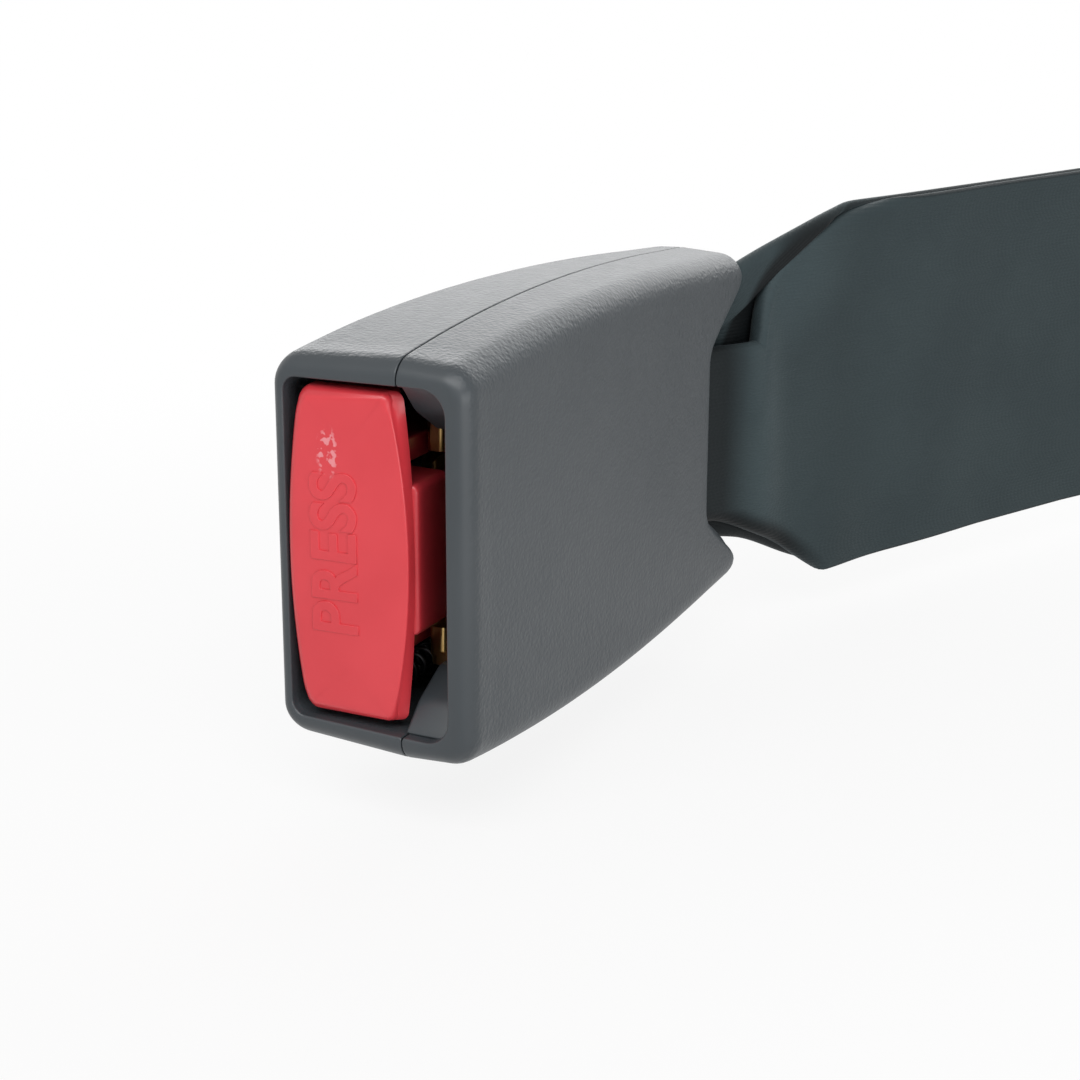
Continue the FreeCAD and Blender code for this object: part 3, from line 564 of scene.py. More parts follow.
def mouth_rows(x, near, grow):
    """Limits of the strap's mouth at each x, grown evenly where its edge is rounded."""
    half = MOUTH_HALF_WIDTH + grow
    face = NEAR_FACE + NEAR_WALL if near else MOUTH_FAR_FACE + grow
    return wall_rows(x, near, half, face, half, MOUTH_RADIUS)


def side_rows(near, count):
    """Rows of the skin between the rounds of its front and rear edges."""
    return skin_rows(np.linspace(FRONT_ROUND_LENGTH, LENGTH - REAR_ROUND, count)[1:], 0, near, SEAM_TURN)


def rear_rows(near, inset, count):
    """Rows of the skin round its rear edge, which turns in by the given inset."""
    turn = quarter(count)[1:]
    turn_in = SEAM_TURN - (SEAM_TURN - SEAM_TURN_END) * np.sin(turn)
    return skin_rows(LENGTH - REAR_ROUND * (1 - np.sin(turn)), inset * (1 - np.cos(turn)), near, turn_in)


def quarter(count):
    """Angles over a quarter turn."""
    return np.linspace(0, math.pi / 2, count)


def cover_grid(rows, near):
    """Sections of a cover from its rows of limits, as a grid that closes on itself through the wall."""
    x, face, face_half, seam_half, radius, turn_in, edge = rows.T
    seam = SEAM - SEAM_GAP if near else SEAM + SEAM_GAP
    level = np.full_like(x, seam)
    side = [
        (level, seam_half - turn_in), (level, seam_half), (face, face_half),
        (face, -face_half), (level, -seam_half), (level, turn_in - seam_half),
    ]
    corners = np.stack([np.stack(pair, -1) for pair in side], 1)
    none = np.zeros_like(x)
    radii = np.stack([none, edge, radius, radius, edge, none], -1)
    section = rounded_chain(corners, radii, 9, [1, 12, 64, 12, 1])
    along = np.broadcast_to(x[:, None], section.shape[:2])
    return np.stack([along, section[..., 0], section[..., 1]], -1)


def notched(grid):
    """Draws the rear of the near cover's face forward to the notch for the strap.

    The edge is at NOTCH_X in the middle, and rises by NOTCH_SLOPE per millimetre of width to the
    full length, through two rounded ramps. Each column of the grid shrinks along X to meet it."""
    face_column = 60
    rear = grid[np.argmax(grid[:, face_column, 0])]
    flank = smoothstep(NEAR_FACE + 2.6, NEAR_FACE + 1.0, rear[:, 1])
    rise = (np.abs(rear[:, 2]) - NOTCH_HALF_WIDTH) * NOTCH_SLOPE
    depth = LENGTH - NOTCH_X
    end = NOTCH_X + softplus(rise, 0.9) - softplus(rise - depth, 1.2)
    end = LENGTH + (np.minimum(end, LENGTH) - LENGTH) * flank
    start = FRONT_ROUND_LENGTH
    shrink = (end - start) / (LENGTH - start)
    x = grid[..., 0]
    moved = grid.copy()
    moved[..., 0] = np.where(x > start, start + (x - start) * shrink[None, :], x)
    return moved


def eared(grid):
    """Draws the rear out by EAR_LENGTH at both sides of the width, where the strap leaves room."""
    x, y, z = np.moveaxis(grid, -1, 0)
    reach = smoothstep(60.0, LENGTH, x) * smoothstep(13.5, 18.0, np.abs(z))
    return np.stack([x + EAR_LENGTH * reach, y, z], -1)


def rim_rows(near, depth):
    """Rows from the opening's deep end forward over its rounded lip to the outer skin."""
    lip = quarter(5)
    front = quarter(10)
    turn_in = SEAM_TURN_END + (SEAM_TURN - SEAM_TURN_END) * np.sin(front)
    return [
        opening_rows(np.linspace(depth, RIM_EDGE, 6)[:-1], 0, near),
        opening_rows(RIM_EDGE * (1 - np.sin(lip)), RIM_EDGE * (1 - np.cos(lip)), near),
        skin_rows(FRONT_ROUND_LENGTH * (1 - np.cos(front)), FRONT_ROUND_INSET * (1 - np.sin(front)),
                  near, turn_in),
    ]


def near_cover(finish):
    """Cover on the tongue side, one closed shell from the opening over the outside to its walls."""
    rows = rim_rows(True, SILL_DEPTH)
    rows.append(side_rows(True, 46))
    rows.append(rear_rows(True, NEAR_REAR_INSET, 5))
    rows.append(mouth_rows(LENGTH - np.array([0.0, 3.0, 6.8]), True, 0.0))
    rows.append(wall_rows(np.linspace(60.0, SILL_DEPTH + 0.6, 12), True))
    grid = eared(notched(cover_grid(np.concatenate(rows), True)))
    shell = Patches().grid(grid, wrap_rows=True, caps="columns")
    return piece("near_shell", shell, finish)


def far_cover(finish):
    """Cover on the button side, one closed shell with the button's well and the strap's mouth."""
    rows = rim_rows(False, WELL_DEPTH)
    rows.append(side_rows(False, 40))
    rows.append(rear_rows(False, REAR_ROUND, 6))
    depths = np.array([0.0, 0.12, 0.4, 2.4])
    rows.append(mouth_rows(LENGTH - depths, False, np.array([0.4, 0.12, 0.0, 0.0])))
    rows.append(wall_rows(np.linspace(64.4, WELL_DEPTH + 0.2, 12), False))
    grid = eared(cover_grid(np.concatenate(rows), False))
    shell = Patches().grid(grid, wrap_rows=True, caps="columns")
    return piece("far_shell", shell, finish)


def closed_outline(corners):
    """Closed outline round (a, b, radius) corners, with tangent arcs, from the middle of a side."""
    turns = 6
    spans = 3
    corners = np.array(corners, float)
    start = (corners[0, :2] + corners[-1, :2]) / 2
    chain = np.concatenate([[start], corners[:, :2], [start]])[None]
    radii = np.concatenate([[0.0], corners[:, 2], [0.0]])[None]
    return rounded_chain(chain, radii, turns, [spans] * (len(corners) + 1))[0, :-1]


def inward(outline):
    """Normals that point into a closed outline, from the turn of its neighbours."""
    ahead = np.roll(outline, -1, 0) - np.roll(outline, 1, 0)
    side = unit(np.stack([-ahead[:, 1], ahead[:, 0]], -1))
    following = np.roll(outline, -1, 0)
    area = (outline[:, 0] * following[:, 1] - following[:, 0] * outline[:, 1]).sum()
    return side * np.sign(area)


def moulded(patches, outline, axes, low, high, edge):
    """Body pushed from low to high along the third axis, with both end edges rounded.

    The outline steps inwards by edge (1 - cos a) while it rises by edge (1 - sin a)."""
    turn = quarter(4)
    heights = np.concatenate([low + edge * (1 - np.sin(turn[::-1])), high - edge * (1 - np.sin(turn))])
    insets = np.concatenate([edge * (1 - np.cos(turn[::-1])), edge * (1 - np.cos(turn))])
    normals = inward(outline)
    flat = outline[None] + normals[None] * insets[:, None, None]
    points = np.zeros(flat.shape[:2] + (3,))
    points[..., axes[0]] = flat[..., 0]
    points[..., axes[1]] = flat[..., 1]
    points[..., axes[2]] = heights[:, None]
    return patches.grid(points, wrap_columns=True, caps="rows")


def slot_guides(finish):
    """Convex ramps at both ends of the slot, which lead the tongue to the middle.

    Their upper edge rises as the square of the place across, beside the button's bowed edge."""
    outline = closed_outline([(1.1, 17.97, 0.2), (3.2, 14.9, 4.0), (7.0, 12.3, 1.2), (8.6, 12.3, 0.3),
                              (8.6, 18.4, 0.2)])
    top = 2.45
    top_end = 16.2
    ramps = moulded(Patches(), outline, (0, 2, 1), SILL - 0.2, top, 0.35)
    x, y, z = ramps.points[0].T
    room = BUTTON_BACK_BOW * (z / top_end) ** 2 - 0.25
    ramps.points[0] = np.stack([x, y + room * smoothstep(1.2, 2.0, y), z], -1)
    return piece("slot_guides", ramps.mirrored(), finish)


def button_front(y, z):
    """Place along X of the button's face: it leans towards the far side, falls to both ends as the
    square of the distance, and is slightly crowned across."""
    across = (y - BUTTON_NEAR_EDGE) / (BUTTON_FAR_EDGE - BUTTON_NEAR_EDGE)
    lean = BUTTON_NEAR_FRONT - BUTTON_LEAN * (y - BUTTON_NEAR_EDGE)
    crown = 0.5
    return lean + BUTTON_END_FALL * (z / BUTTON_HALF_WIDTH) ** 2 - crown * across * (1 - across)


def button_outline(near_bow):
    """Outline of the button: its long sides bow as the square of the place along them, and its corners
    are round."""
    near_corner = 1.1
    far_corner = 1.6
    far_bow = 1.15
    share = np.linspace(-1, 1, 45)
    turn = quarter(9)[1:-1]
    near_z = share * (BUTTON_HALF_WIDTH - near_corner)
    far_z = share * (BUTTON_HALF_WIDTH - far_corner)
    near = np.stack([BUTTON_NEAR_EDGE + near_bow * share ** 2, near_z], -1)
    far = np.stack([BUTTON_FAR_EDGE - far_bow * share ** 2, far_z], -1)
    near_end = near[-1] + near_corner * np.stack([1 - np.cos(turn), np.sin(turn)], -1)
    far_end = far[-1] + far_corner * np.stack([np.cos(turn) - 1, np.sin(turn)], -1)[::-1]
    top = np.concatenate([near_end, far_end])
    bottom = (top * (1, -1))[::-1]
    return np.concatenate([near, top, far[::-1], bottom])


def button_cap():
    """Grid of the press button's face and flank.

    Round the outline the edge radius changes from small on the slot side to soft on the far side and
    at both ends. The near flank leans towards the slot at both ends, where its back bows less than the
    face's edge does. Rings go from a line along the middle of the back up the flank, over the edge and
    across the face to a line along its middle."""
    front = button_outline(BUTTON_FRONT_BOW)
    back = button_outline(BUTTON_BACK_BOW)
    normals = inward(front)
    ends = smoothstep(14.0, 16.8, np.abs(front[:, 1]))
    edge = 0.22 + 0.68 * smoothstep(8.0, 15.0, front[:, 0]) + 0.65 * ends
    spine_half = 11.4
    spine = np.stack([np.full(len(front), 8.9), np.clip(front[:, 1] * 0.72, -spine_half, spine_half)], -1)
    rings = []
    for flat in (spine, back):
        rings.append(np.concatenate([np.full((len(front), 1), CAP_BACK), flat], 1))
    start = button_front(front[:, 0], front[:, 1]) + edge
    for share in (0.66, 0.33):
        outline = front + (back - front) * share
        rings.append(np.concatenate([(start + (CAP_BACK - start) * share)[:, None], outline], 1))
    for angle in quarter(8):
        outline = front + normals * (edge * (1 - math.cos(angle)))[:, None]
        x = button_front(outline[:, 0], outline[:, 1]) + edge * (1 - math.sin(angle))
        rings.append(np.concatenate([x[:, None], outline], 1))
    lip = front + normals * edge[:, None]
    for share in np.linspace(0, 1, 14)[1:]:
        flat = lip + (spine - lip) * share
        rings.append(np.concatenate([button_front(flat[:, 0], flat[:, 1])[:, None], flat], 1))
    return np.stack(rings)


def button_body():
    """Parts of the button behind its cap: rear half, the block beside the tongue, legs and spring posts.

    Each is an outline of (place, place, corner radius) pushed along the third axis."""
    rear = closed_outline([(5.6, -16.7, 0.8), (5.6, 16.7, 0.8), (13.4, 16.7, 1.2), (14.9, 8.0, 6.0),
                           (14.9, -8.0, 6.0), (13.4, -16.7, 1.2)])
    body = moulded(Patches(), rear, (1, 2, 0), CAP_BACK - 0.1, 5.35, 0.25)
    block = closed_outline([(2.12, -7.8, 0.9), (14.0, -7.8, 0.9), (14.0, 7.8, 0.9), (2.12, 7.8, 0.9)])
    moulded(body, block, (1, 2, 0), CAP_BACK - 0.1, 8.5, 0.4)
    leg = closed_outline([(2.6, 5.7, 0.3), (20.0, 5.7, 0.8), (20.0, 11.0, 0.8), (2.6, 11.0, 0.3)])
    pair = moulded(Patches(), leg, (0, 1, 2), 8.55, 11.05, 0.25)
    post = ring_outline(9.5, 15.6, 0.75)
    moulded(pair, post, (1, 2, 0), 5.2, 7.3, 0.2)
    pair.mirrored()
    return body.add(np.concatenate(pair.points), pair.faces)


def ring_outline(a, b, radius):
    """Round outline about a centre."""
    count = 20
    angle = np.arange(count) * 2 * math.pi / count
    return np.stack([a + radius * np.cos(angle), b + radius * np.sin(angle)], -1)


def press_word(finish):
    """Low raised PRESS on the button's face, read from the lower end upwards.

    The flat letters are stretched to their length and height, and each point then stands off the
    face by its own height times WORD_RELIEF."""
    curve = bpy.data.curves.new("press_word", "FONT")
    curve.body = "PRESS"
    curve.size = 1.0
    curve.offset = 0.012
    curve.extrude = 0.03
    curve.bevel_depth = 0.012
    curve.bevel_resolution = 2
    curve.align_x = "CENTER"
    curve.align_y = "CENTER"
    source = linked("press_source", curve)
    bpy.context.view_layer.update()
    mesh = bpy.data.meshes.new_from_object(source.evaluated_get(bpy.context.evaluated_depsgraph_get()))
    bpy.data.objects.remove(source)
    count = len(mesh.vertices)
    flat = np.empty(count * 3)
    mesh.vertices.foreach_get("co", flat)
    flat = flat.reshape(-1, 3)
    y = WORD_PLACE[0] + flat[:, 1] * (WORD_HEIGHT / np.ptp(flat[:, 1]))
    z = WORD_PLACE[1] + flat[:, 0] * (WORD_LENGTH / np.ptp(flat[:, 0]))
    on_face = np.stack([button_front(y, z) - flat[:, 2] * WORD_RELIEF, y, z], -1) * MM
    mesh.vertices.foreach_set("co", on_face.ravel())
    mesh.name = "press_word"
    weld(mesh)
    return finished("press_word", mesh, finish)


def strap_axes():
    """Unit vectors of the strap in the X-Y plane: along it, and out of its near side."""
    along = np.array([math.cos(STRAP_ANGLE), math.sin(STRAP_ANGLE)])
    out = np.array([math.sin(STRAP_ANGLE), -math.cos(STRAP_ANGLE)])
    return along, out


def strap_line(s, side):
    """Middle line of the strap in the X-Y plane at distances s from the bend, and its normals.

    Ahead of the bend it lies along X in the housing; past it, along the strap's own direction. The
    two directions mix over 9 mm. The normals point out of the near side, or of the far side."""
    along, _ = strap_axes()
    turned = smoothstep(-4.0, 5.0, s)
    angle = STRAP_ANGLE * turned
    step = np.gradient(s)
    centre = np.stack([np.cumsum(np.cos(angle) * step), np.cumsum(np.sin(angle) * step)], -1)
    middle = np.argmin(np.abs(s - 60.0))
    target = BEND + along * s[middle]
    centre += target - centre[middle]
    normal = np.stack([np.sin(angle), -np.cos(angle)], -1)
    return centre, normal * side


def fold_shares(flat, turn, under):
    """Shares across half a folded webbing: 0 to 1 on its flat, to 2 round the fold, to 3 lying under."""
    return np.concatenate([np.linspace(0, 1, flat)[:-1], np.linspace(1, 2, turn)[:-1],
                           np.linspace(2, 3, under)])


def folded_section(share, line, radius):
    """Webbing across one half of its width, from the middle to the selvage, turned under at a fold line.

    The half has three stretches: flat to the fold, round the fold, and what is left lying back under.
    Along the cloth the direction turns by length / radius round the fold, up to half a turn, and the
    fold's radius grows without limit as the line passes the selvage. Returns the distance along the
    cloth, the place across and the depth."""
    half = WEBBING_HALF_WIDTH
    closed = smoothstep(half + radius, half - 1.5 * radius, line)
    bend = np.maximum(closed / radius, 0.01)
    start = np.minimum(line - radius, half - 0.9)
    stop = np.minimum(start + math.pi / bend, half - 0.45)
    marks = np.stack([np.zeros_like(line), start, stop, np.full_like(line, half)])
    across = np.zeros(line.shape)
    for i in range(3):
        part = np.clip(share - i, 0, 1)
        across = across + (marks[i + 1] - marks[i]) * part
    angle = np.clip((across - start) * bend, 0, math.pi)
    beyond = np.maximum(across - start - math.pi / bend, 0)
    place = np.minimum(across, start) + np.sin(angle) / bend - beyond
    depth = (1 - np.cos(angle)) / bend
    return across, place, depth


def cloth(middle, s, across, thickness=WEBBING_THICKNESS, painted_shade=0.0):
    """Webbing with its thickness about a middle surface: both faces, and round selvages.

    Whichever face looks to the near side takes the share of painted shade. The thickness is full across
    the width and follows a quarter of an ellipse over the selvage."""
    selvage = 0.55
    along_step = np.gradient(middle, axis=0)
    across_step = np.gradient(middle, axis=1)
    normal = unit(np.cross(along_step, across_step))
    reach = np.clip((WEBBING_HALF_WIDTH - np.abs(across)) / selvage, 0, 1)
    half = thickness / 2 * np.sqrt(1 - (1 - reach) ** 2)
    lift = normal * half[..., None]
    ring = np.concatenate([middle + lift, (middle - lift)[:, ::-1]], 1)
    painted_shade = np.broadcast_to(painted_shade, across.shape)
    facing = smoothstep(-0.3, 0.3, -normal[..., 1])
    pairs = ((s, s), (across, across), (painted_shade * facing, painted_shade * (1 - facing)))
    track = np.stack([np.concatenate([first, second[:, ::-1]], 1) for first, second in pairs], -1)
    return Patches().grid(ring, wrap_columns=True, caps="rows", track=track)


def strap_columns():
    """Places across the webbing, closer together at its selvages."""
    t = np.linspace(-1, 1, 97)
    return WEBBING_HALF_WIDTH * (1.06 * t - 0.06 * t ** 5)


def strap_run(name, side, fold_up, fold_down, wave, painted_shade_share, finish):
    """One run of webbing from inside the housing's mouth to the end loop.

    fold_up and fold_down give the fold lines' distance from the middle along the run, wave the
    height of the cloth over the strap's middle plane, and the last function its share of painted shade.
    The selvages get painted shade too."""
    s = np.concatenate([np.arange(STRAP_START, 40.0, 0.4), np.arange(40.0, STRAP_LENGTH, 1.6),
                        [STRAP_LENGTH]])
    halves = []
    for turn, fold in ((-1.0, fold_down), (1.0, fold_up)):
        line, share = np.meshgrid(fold(s), fold_shares(30, 11, 12), indexing="ij")
        across, place, depth = folded_section(share, line, FOLD_RADIUS)
        order = slice(None, None, -1) if turn < 0 else slice(1, None)
        halves.append([(turn * across)[:, order], (turn * place)[:, order], depth[:, order]])
    across, place, depth = [np.concatenate(pair, 1) for pair in zip(*halves)]
    s_grid = np.broadcast_to(s[:, None], place.shape)
    centre, normal = strap_line(s, side)
    xy = centre[:, None, :] + (wave(s_grid, place) - depth)[..., None] * normal[:, None, :]
    middle = np.concatenate([xy, place[..., None]], -1)
    # Painted shade along both selvages
    at_edge = smoothstep(WEBBING_HALF_WIDTH - 0.8, WEBBING_HALF_WIDTH - 0.2, np.abs(across))
    painted_shade = np.maximum(painted_shade_share(s_grid, place), 1.7 * at_edge - 1.0)
    return piece(name, cloth(middle, s_grid, across, WEBBING_THICKNESS, painted_shade), finish, 60.0)


def bell(value, middle, width):
    """1 at the middle and falling off as a Gaussian of the given width."""
    return np.exp(-((value - middle) / width) ** 2)


def run_height(s):
    """Height of either run over the strap's middle plane: level, then parting round the end loop."""
    flat = LAYER_GAP + WEBBING_THICKNESS / 2
    return flat + smoothstep(104, 115, s) * (LOOP_RADIUS + WEBBING_THICKNESS / 2 - flat)


def near_height(s, z):
    """Height of the near run: lifted in the mouth, puffed at the neck's slanting crest and where its
    lower edge opens, drooping a little beside the upper fold, then gently waved."""
    mouth = 1.25 * smoothstep(12, 2, s)
    crest = 1.9 * bell(s, 10.4 - 0.08 * z, 3.9) * (1 - 0.35 * smoothstep(6, 20, np.abs(z)))
    droop = 0.40 * smoothstep(6.0, 0.5, near_fold_up(s) - z) * bell(s, 17.0, 7.0)
    puff = 1.3 * bell(s, 24.0, 7.0) * smoothstep(-6, -20, z)
    wave = 0.40 * np.sin((s - 30) / 7.0) * smoothstep(18, 34, s) * smoothstep(100, 70, s)
    return run_height(s) + mouth + crest - droop + puff + np.maximum(wave, -0.1)


def far_height(s, _):
    """Height of the far run: lifted in the mouth, with a low crest behind the neck."""
    return run_height(s) + 1.25 * smoothstep(10, 1, s) + 0.55 * bell(s, 12.0, 7.0)


def near_fold_up(s):
    """Upper fold line of the near run: level along the neck, then it opens as two exponentials, a short
    and a long one, and passes the selvage."""
    t = np.maximum(s - 10.9, 0)
    opened = 4.0 * (1 - np.exp(-t / 1.3)) + 11.6 * (1 - np.exp(-t / 9.0))
    return 8.0 + opened + 1.6 * smoothstep(32, 48, s)


def near_fold_down(s):
    """Lower fold line of the near run, which opens steadily from the neck, with a shallow hollow and a
    slight swell."""
    line = 12.5 + 10.8 * smoothstep(2, 27, s) + 2.2 * smoothstep(22, 34, s)
    return line - 0.9 * bell(s, 16.5, 5.0) + 0.5 * bell(s, 25.0, 3.0)


def far_fold_up(s):
    """Upper fold line of the far run: it opens in a straight line, then levels off."""
    return 23.6 - softplus(0.33 * (28 - s), 0.8) + 1.6 * smoothstep(32, 46, s)


def far_fold_down(s):
    """Lower fold line of the far run, a little narrower than the upper one near the housing."""
    return far_fold_up(s) - 1.3 * bell(s, 11.0, 7.0)


def near_painted_shade(s, z):
    """Share of painted shade on the near run: most at the neck, in the housing's shadow, and along its
    lower edge, with a faint band further on; less than elsewhere, down to painted light, on the crest and
    beside the upper fold."""
    # Painted shade at the neck, the lower edge and a faint band; painted light on the crest and beside
    # the upper fold
    low = smoothstep(near_fold_down(s) - 2.5, near_fold_down(s) - 0.3, -z) * smoothstep(26, 16, s)
    dark = np.maximum(0.85 * smoothstep(9.0, 4.5, s) + 0.12 * bell(s, 27.0, 6.0), low)
    beside_fold = smoothstep(14, 5, near_fold_up(s) - z) * smoothstep(32, 20, s)
    painted_light = np.maximum(bell(s, 11.8, 3.4), beside_fold) * smoothstep(7, 10, s)
    return dark - 0.4 * painted_light * (1 - dark)


def far_painted_shade(s, z):
    """Share of painted shade on the far run: nearly full below the near run, and a band in the shadowed
    valley beyond the near run's upper fold.
    """
    border = 23.0 - 12.0 * np.exp((9.0 - s) / 6.8)
    above = smoothstep(border + 1.5, border - 0.3, z)
    return np.where(z > 0, above, 0.95) * smoothstep(34, 25, s)


def webbing_loop(finish):
    """Webbing folded narrow and turned round the frame's bar inside the housing: two straight layers
    and half a circle between them."""
    angle = np.linspace(math.pi / 2, 3 * math.pi / 2, 40)
    reach = np.linspace(BAR_FOLD_REACH, 0, 14)[:-1]
    radius = BAR_RADIUS + 0.9
    across_bar = np.full_like(reach, radius)
    up = np.tile([0, 1], (len(reach), 1))
    x = BAR_PLACE[0] + np.concatenate([reach, radius * np.cos(angle), reach[::-1]])
    y = BAR_PLACE[1] + np.concatenate([across_bar, radius * np.sin(angle), -across_bar])
    out = np.concatenate([up, np.stack([np.cos(angle), np.sin(angle)], -1), -up])
    s = np.concatenate([[0], np.cumsum(np.hypot(np.diff(x), np.diff(y)))])
    line, share = np.meshgrid(np.full_like(s, BAR_FOLD_HALF_WIDTH), fold_shares(16, 8, 8), indexing="ij")
    across, place, depth = folded_section(share, line, BAR_FOLD_RADIUS)
    across = np.concatenate([-across[:, :0:-1], across], 1)
    place = np.concatenate([-place[:, :0:-1], place], 1)
    depth = np.concatenate([depth[:, :0:-1], depth], 1)
    xy = np.stack([x, y], -1)[:, None] + out[:, None] * (0.35 - depth)[..., None]
    middle = np.concatenate([xy, place[..., None]], -1)
    s_grid = np.broadcast_to(s[:, None], place.shape)
    folded = cloth(middle, s_grid, across, PRESSED_THICKNESS)
    return piece("webbing_loop", folded, finish, 60.0)


def end_loop(finish):
    """Full-width turn of the webbing round the anchor's sleeve."""
    along, out = strap_axes()
    angle = np.linspace(-math.pi / 2, math.pi / 2, 25)
    radius = LOOP_RADIUS + WEBBING_THICKNESS / 2
    centre = BEND + along * STRAP_LENGTH
    xy = centre + radius * (np.cos(angle)[:, None] * along + np.sin(angle)[:, None] * out)
    s = STRAP_LENGTH + (angle + math.pi / 2) * radius
    s_grid, across_grid = np.meshgrid(s, strap_columns(), indexing="ij")
    xy_grid = np.broadcast_to(xy[:, None], s_grid.shape + (2,))
    middle = np.concatenate([xy_grid, across_grid[..., None]], -1)
    return piece("strap_loop", cloth(middle, s_grid, across_grid), finish, 60.0)


def stitching(finish):
    """Sewn block: rows of short stitches, each a flat arch of thread that dips into the cloth."""
    along, out = strap_axes()
    pitch = 2.6
    stitches = []
    for z in np.linspace(-SEWN_HALF_WIDTH, SEWN_HALF_WIDTH, 6):
        stitches += [(s, z, 0.0) for s in np.arange(SEWN_FROM + 1.0, SEWN_TO - 0.6, pitch)]
    for s in (SEWN_FROM, SEWN_TO):
        stitches += [(s, z, 1.0) for z in np.arange(0.8 - SEWN_HALF_WIDTH, SEWN_HALF_WIDTH, pitch)]
    t = np.linspace(-1, 1, 7)
    around = np.arange(6) * math.pi / 3
    length = (t * pitch * 0.42)[:, None]
    breadth = 0.24 * np.cos(around)[None, :]
    surface = LAYER_GAP + WEBBING_THICKNESS
    lift = surface + 0.20 * (1 - t ** 4) - 0.06
    height = lift[:, None] + 0.16 * np.sin(around)[None, :]
    patches = Patches()
    for side in (1.0, -1.0):
        for s, z, cross in stitches:
            ring_s = s + (1 - cross) * length + cross * breadth
            ring_z = z + cross * length + (1 - cross) * breadth
            xy = BEND + ring_s[..., None] * along + side * height[..., None] * out
            patches.grid(np.concatenate([xy, ring_z[..., None]], -1), wrap_columns=True, caps="rows")
    return piece("strap_thread", patches, finish, 60.0)


def wire(patches, line, outward):
    """Round wire along a line: each ring stands on the outward direction and the binormal."""
    sides = 10
    forward = unit(np.gradient(line, axis=0))
    other = unit(np.cross(forward, outward))
    angle = np.arange(sides) * 2 * math.pi / sides
    ring = outward[:, None] * np.cos(angle)[None, :, None] + other[:, None] * np.sin(angle)[None, :, None]
    return patches.grid(line[:, None] + ring * WIRE_RADIUS, wrap_columns=True, caps="rows")


def coil_line(start, stop, radius, turns, place):
    """Helix along X that rises evenly, and its outward directions."""
    t = np.linspace(0, 1, int(turns * 26))
    angle = t * turns * 2 * math.pi
    x = start + (stop - start) * t
    outward = np.stack([np.zeros_like(t), np.cos(angle), np.sin(angle)], -1)
    line = np.stack([x, place[0] + radius * np.cos(angle), place[1] + radius * np.sin(angle)], -1)
    return line, outward


def coil_spring(name, finish, start, stop, radius, turns, places):
    """Coil springs that run along X, one at each place (y, z)."""
    patches = Patches()
    for place in places:
        wire(patches, *coil_line(start + WIRE_RADIUS, stop - WIRE_RADIUS, radius, turns, place))
    return piece(name, patches, finish, 60.0)


def soften(node, width):
    """Rounds the edges of a carried-over part: its loose triangles are welded, those in one plane
    joined, and its edges bevelled."""
    merge = node.modifiers.new("weld", "WELD")
    merge.merge_threshold = 2e-6
    flat = node.modifiers.new("flat", "DECIMATE")
    flat.decimate_type = "DISSOLVE"
    flat.angle_limit = math.radians(1)
    bevel = node.modifiers.new("bevel", "BEVEL")
    bevel.width = width
    bevel.segments = 2
    bevel.limit_method = "ANGLE"
    bevel.angle_limit = math.radians(50)
    bevel.harden_normals = True


def dress(name, finish, width=0.00012):
    """Gives a carried-over part its finish, and rounds its edges by the given width in metres."""
    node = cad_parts[name]
    for slot in node.material_slots:
        slot.material = finish
    if not node.material_slots:
        node.data.materials.append(finish)
    if width > 0:
        soften(node, width)


def lamp(name, place, target, size, power):
    """Soft oblong lamp that points at a target."""
    light = bpy.data.lights.new(name, "AREA")
    light.shape = "RECTANGLE"
    light.size, light.size_y = size
    light.energy = power
    made = linked(name, light)
    made.location = place
    made.rotation_mode = "QUATERNION"
    made.rotation_quaternion = (Vector(target) - Vector(place)).to_track_quat("-Z", "Y")


def seen_directly(tree):
    """1 for rays from the camera, from gloss or through glass, and 0 for diffuse light."""
    path = tree.nodes.new("ShaderNodeLightPath")
    seen = path.outputs["Is Camera Ray"]
    for ray in ("Is Glossy Ray", "Is Transmission Ray"):
        either = tree.nodes.new("ShaderNodeMath")
        either.operation = "MAXIMUM"
        tree.links.new(seen, either.inputs[0])
        tree.links.new(path.outputs[ray], either.inputs[1])
        seen = either.outputs[0]
    return seen


def floor_paint():
    """White floor that keeps a faint shadow: what is seen of it is part lit paint and part plain white,
    and plain white alone farther out."""
    finish = Finish("floor_paint", Roughness=1.0)
    finish.shader.inputs["Specular IOR Level"].default_value = 0.0
    speck = finish.noise(finish.place(), 40.0)
    colour = finish.blend(speck, (0.90, 0.90, 0.90, 1), (0.92, 0.92, 0.92, 1))
    white = finish.tree.nodes.new("ShaderNodeEmission")
    mix = finish.tree.nodes.new("ShaderNodeMixShader")
    distance = finish.node("VectorMath", {"operation": "LENGTH"}, {0: finish.place()}, 1)
    white_share = FLOOR_WHITE + distance.step(0.05, 0.22) * (1 - FLOOR_WHITE)
    share = Value(finish, seen_directly(finish.tree)) * white_share
    finish.feed(mix.inputs[0], share)
    finish.tree.links.new(finish.shader.outputs[0], mix.inputs[1])
    finish.tree.links.new(white.outputs[0], mix.inputs[2])
    finish.tree.links.new(mix.outputs[0], finish.tree.nodes["Material Output"].inputs["Surface"])
    return finish.set(Base_Color=colour)


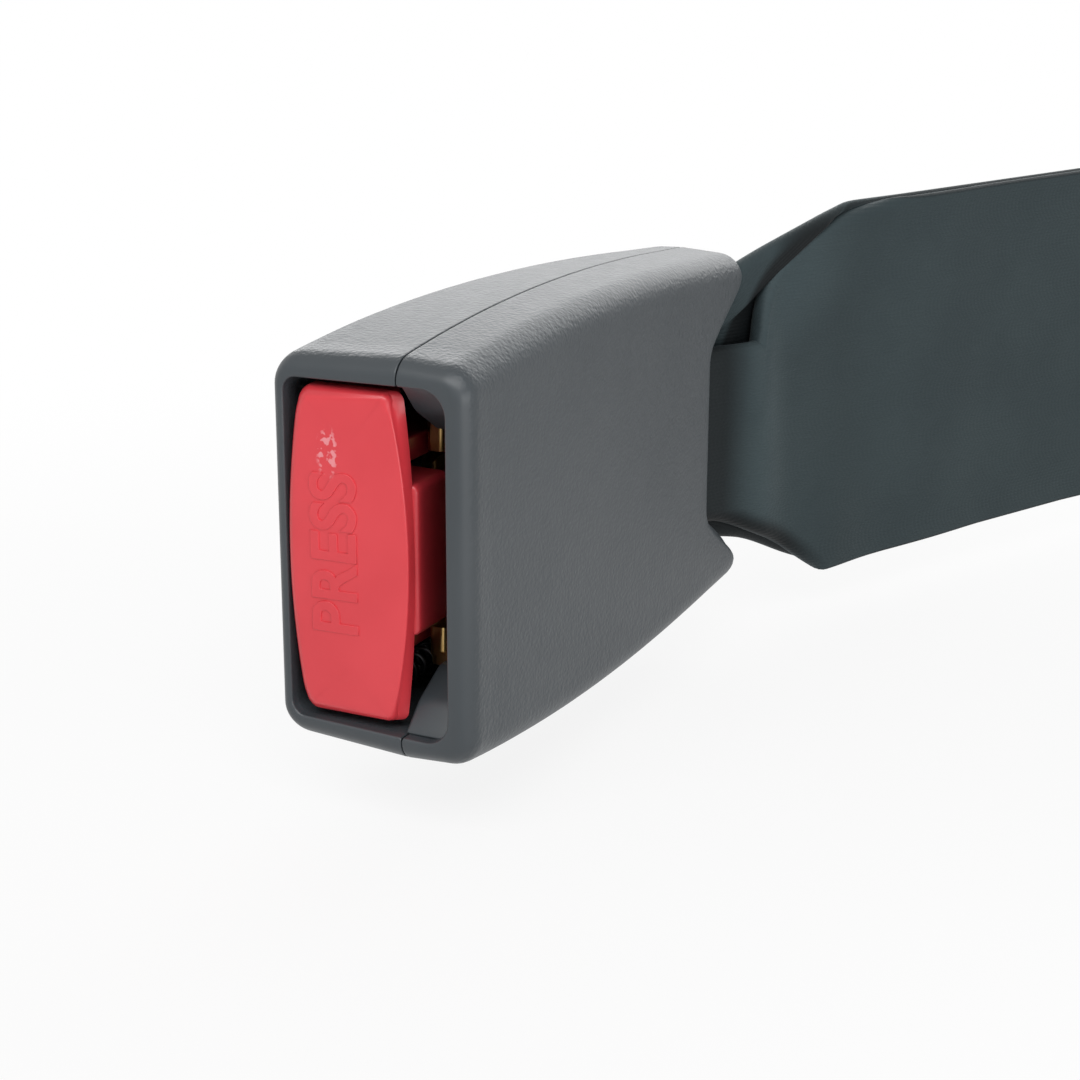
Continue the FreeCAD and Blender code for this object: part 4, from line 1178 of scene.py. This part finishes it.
def studio():
    """White floor and surroundings, and soft lamps."""
    bpy.context.scene.view_settings.view_transform = "Standard"
    mesh = bpy.data.meshes.new("floor")
    sides = ((-1, -1), (1, -1), (1, 1), (-1, 1))
    corners = [(x * FLOOR_REACH, y * FLOOR_REACH, FLOOR_LEVEL) for x, y in sides]
    mesh.from_pydata(corners, [], [(0, 1, 2, 3)])
    floor = linked("floor", mesh)
    mesh.materials.append(floor_paint())
    world = bpy.data.worlds.new("studio")
    bpy.context.scene.world = world
    world.use_nodes = True
    tree = world.node_tree
    background = tree.nodes["Background"]
    background.inputs["Color"].default_value = (1, 1, 1, 1)
    level = tree.nodes.new("ShaderNodeMapRange")
    level.inputs["To Min"].default_value = WORLD_LEVEL
    level.inputs["To Max"].default_value = 1.0
    tree.links.new(seen_directly(tree), level.inputs["Value"])
    tree.links.new(level.outputs[0], background.inputs["Strength"])
    for settings in LAMPS:
        lamp(*settings)


def camera():
    """Camera at the photograph's place, turned by its own right, up and back directions."""
    data = bpy.data.cameras.new("photo_camera")
    data.lens = CAMERA_LENS
    data.sensor_width = 36.0
    data.clip_start = 0.01
    data.clip_end = 20.0
    made = linked("photo_camera", data)
    turn = Matrix((CAMERA_RIGHT, CAMERA_UP, CAMERA_BACK)).transposed().to_4x4()
    made.matrix_world = Matrix.Translation(CAMERA_PLACE) @ turn
    bpy.context.scene.camera = made


def build():
    """Finishes, then every piece with the body that it moves with and the node that it stands for."""
    covers = cover_plastic("cover_plastic", 0.75)
    smooth = cover_plastic("smooth_cover", 0.0)
    red = button_plastic()
    black = dark_plastic()
    zinc = plated("zinc_steel", (0.60, 0.40, 0.15, 1), (0.78, 0.58, 0.28, 1), 900.0, 0.25)
    bright = plated("bright_steel", (0.52, 0.52, 0.51, 1), (0.66, 0.66, 0.64, 1), 2000.0, 0.18)
    spring = plated("spring_steel", (0.13, 0.13, 0.135, 1), (0.20, 0.20, 0.205, 1), 2000.0, 0.30)
    coated = coated_steel()
    belt = webbing("webbing", (0.050, 0.072, 0.079, 1), (0.060, 0.085, 0.092, 1))
    sewn = thread()

    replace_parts(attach(near_cover(covers), "housing"), "near_cover")
    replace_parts(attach(far_cover(covers), "housing"), "far_cover")
    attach(slot_guides(smooth), "housing")

    cap = button_body()
    cap.grid(button_cap(), wrap_columns=True)
    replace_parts(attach(piece("button_face", cap, red, 38.0), "button"), "button")
    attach(press_word(red), "button")

    near = strap_run("near_run", 1.0, near_fold_up, near_fold_down, near_height, near_painted_shade, belt)
    far = strap_run("far_run", -1.0, far_fold_up, far_fold_down, far_height, far_painted_shade, belt)
    for run, node in ((near, "strap_near_layer"), (far, "strap_far_layer")):
        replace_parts(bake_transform(run), node)
    fold = webbing_loop(belt)
    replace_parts(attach(fold, "housing"), "webbing_fold")
    loop = end_loop(belt)
    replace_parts(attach(loop, "strap"), "strap_end_loop")
    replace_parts(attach(stitching(sewn), "strap"), "strap_stitching")

    coils = coil_spring("lock_coils", spring, 35.6, 44.6, 1.1, 6, [(7.5, 15.2), (7.5, -15.2)])
    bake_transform(coils)
    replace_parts(coils, "lock_springs")
    coils = coil_spring("button_coils", spring, 5.35, 22.2, 1.2, 9, [(9.5, 15.6), (9.5, -15.6)])
    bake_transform(coils)
    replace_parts(coils, "button_springs")
    coils = coil_spring("ejector_coils", spring, 23.5, 43.0, 1.0, 12, [(0.0, 0.0)])
    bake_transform(coils)
    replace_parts(coils, "ejector_spring")

    for name in ("frame", "latch"):
        dress(name, zinc)
    for name in ("latch_pin", "pin_clips", "lock_bar"):
        dress(name, bright)
    dress("latch_springs", spring, 0)
    for name in ("spring_seat", "strap_bar_sleeve", "lock_slide", "ejector", "anchor_sleeve"):
        dress(name, black)
    dress("anchor_plate", coated, 0.0004)


build()
studio()
camera()
bpy.context.view_layer.update()
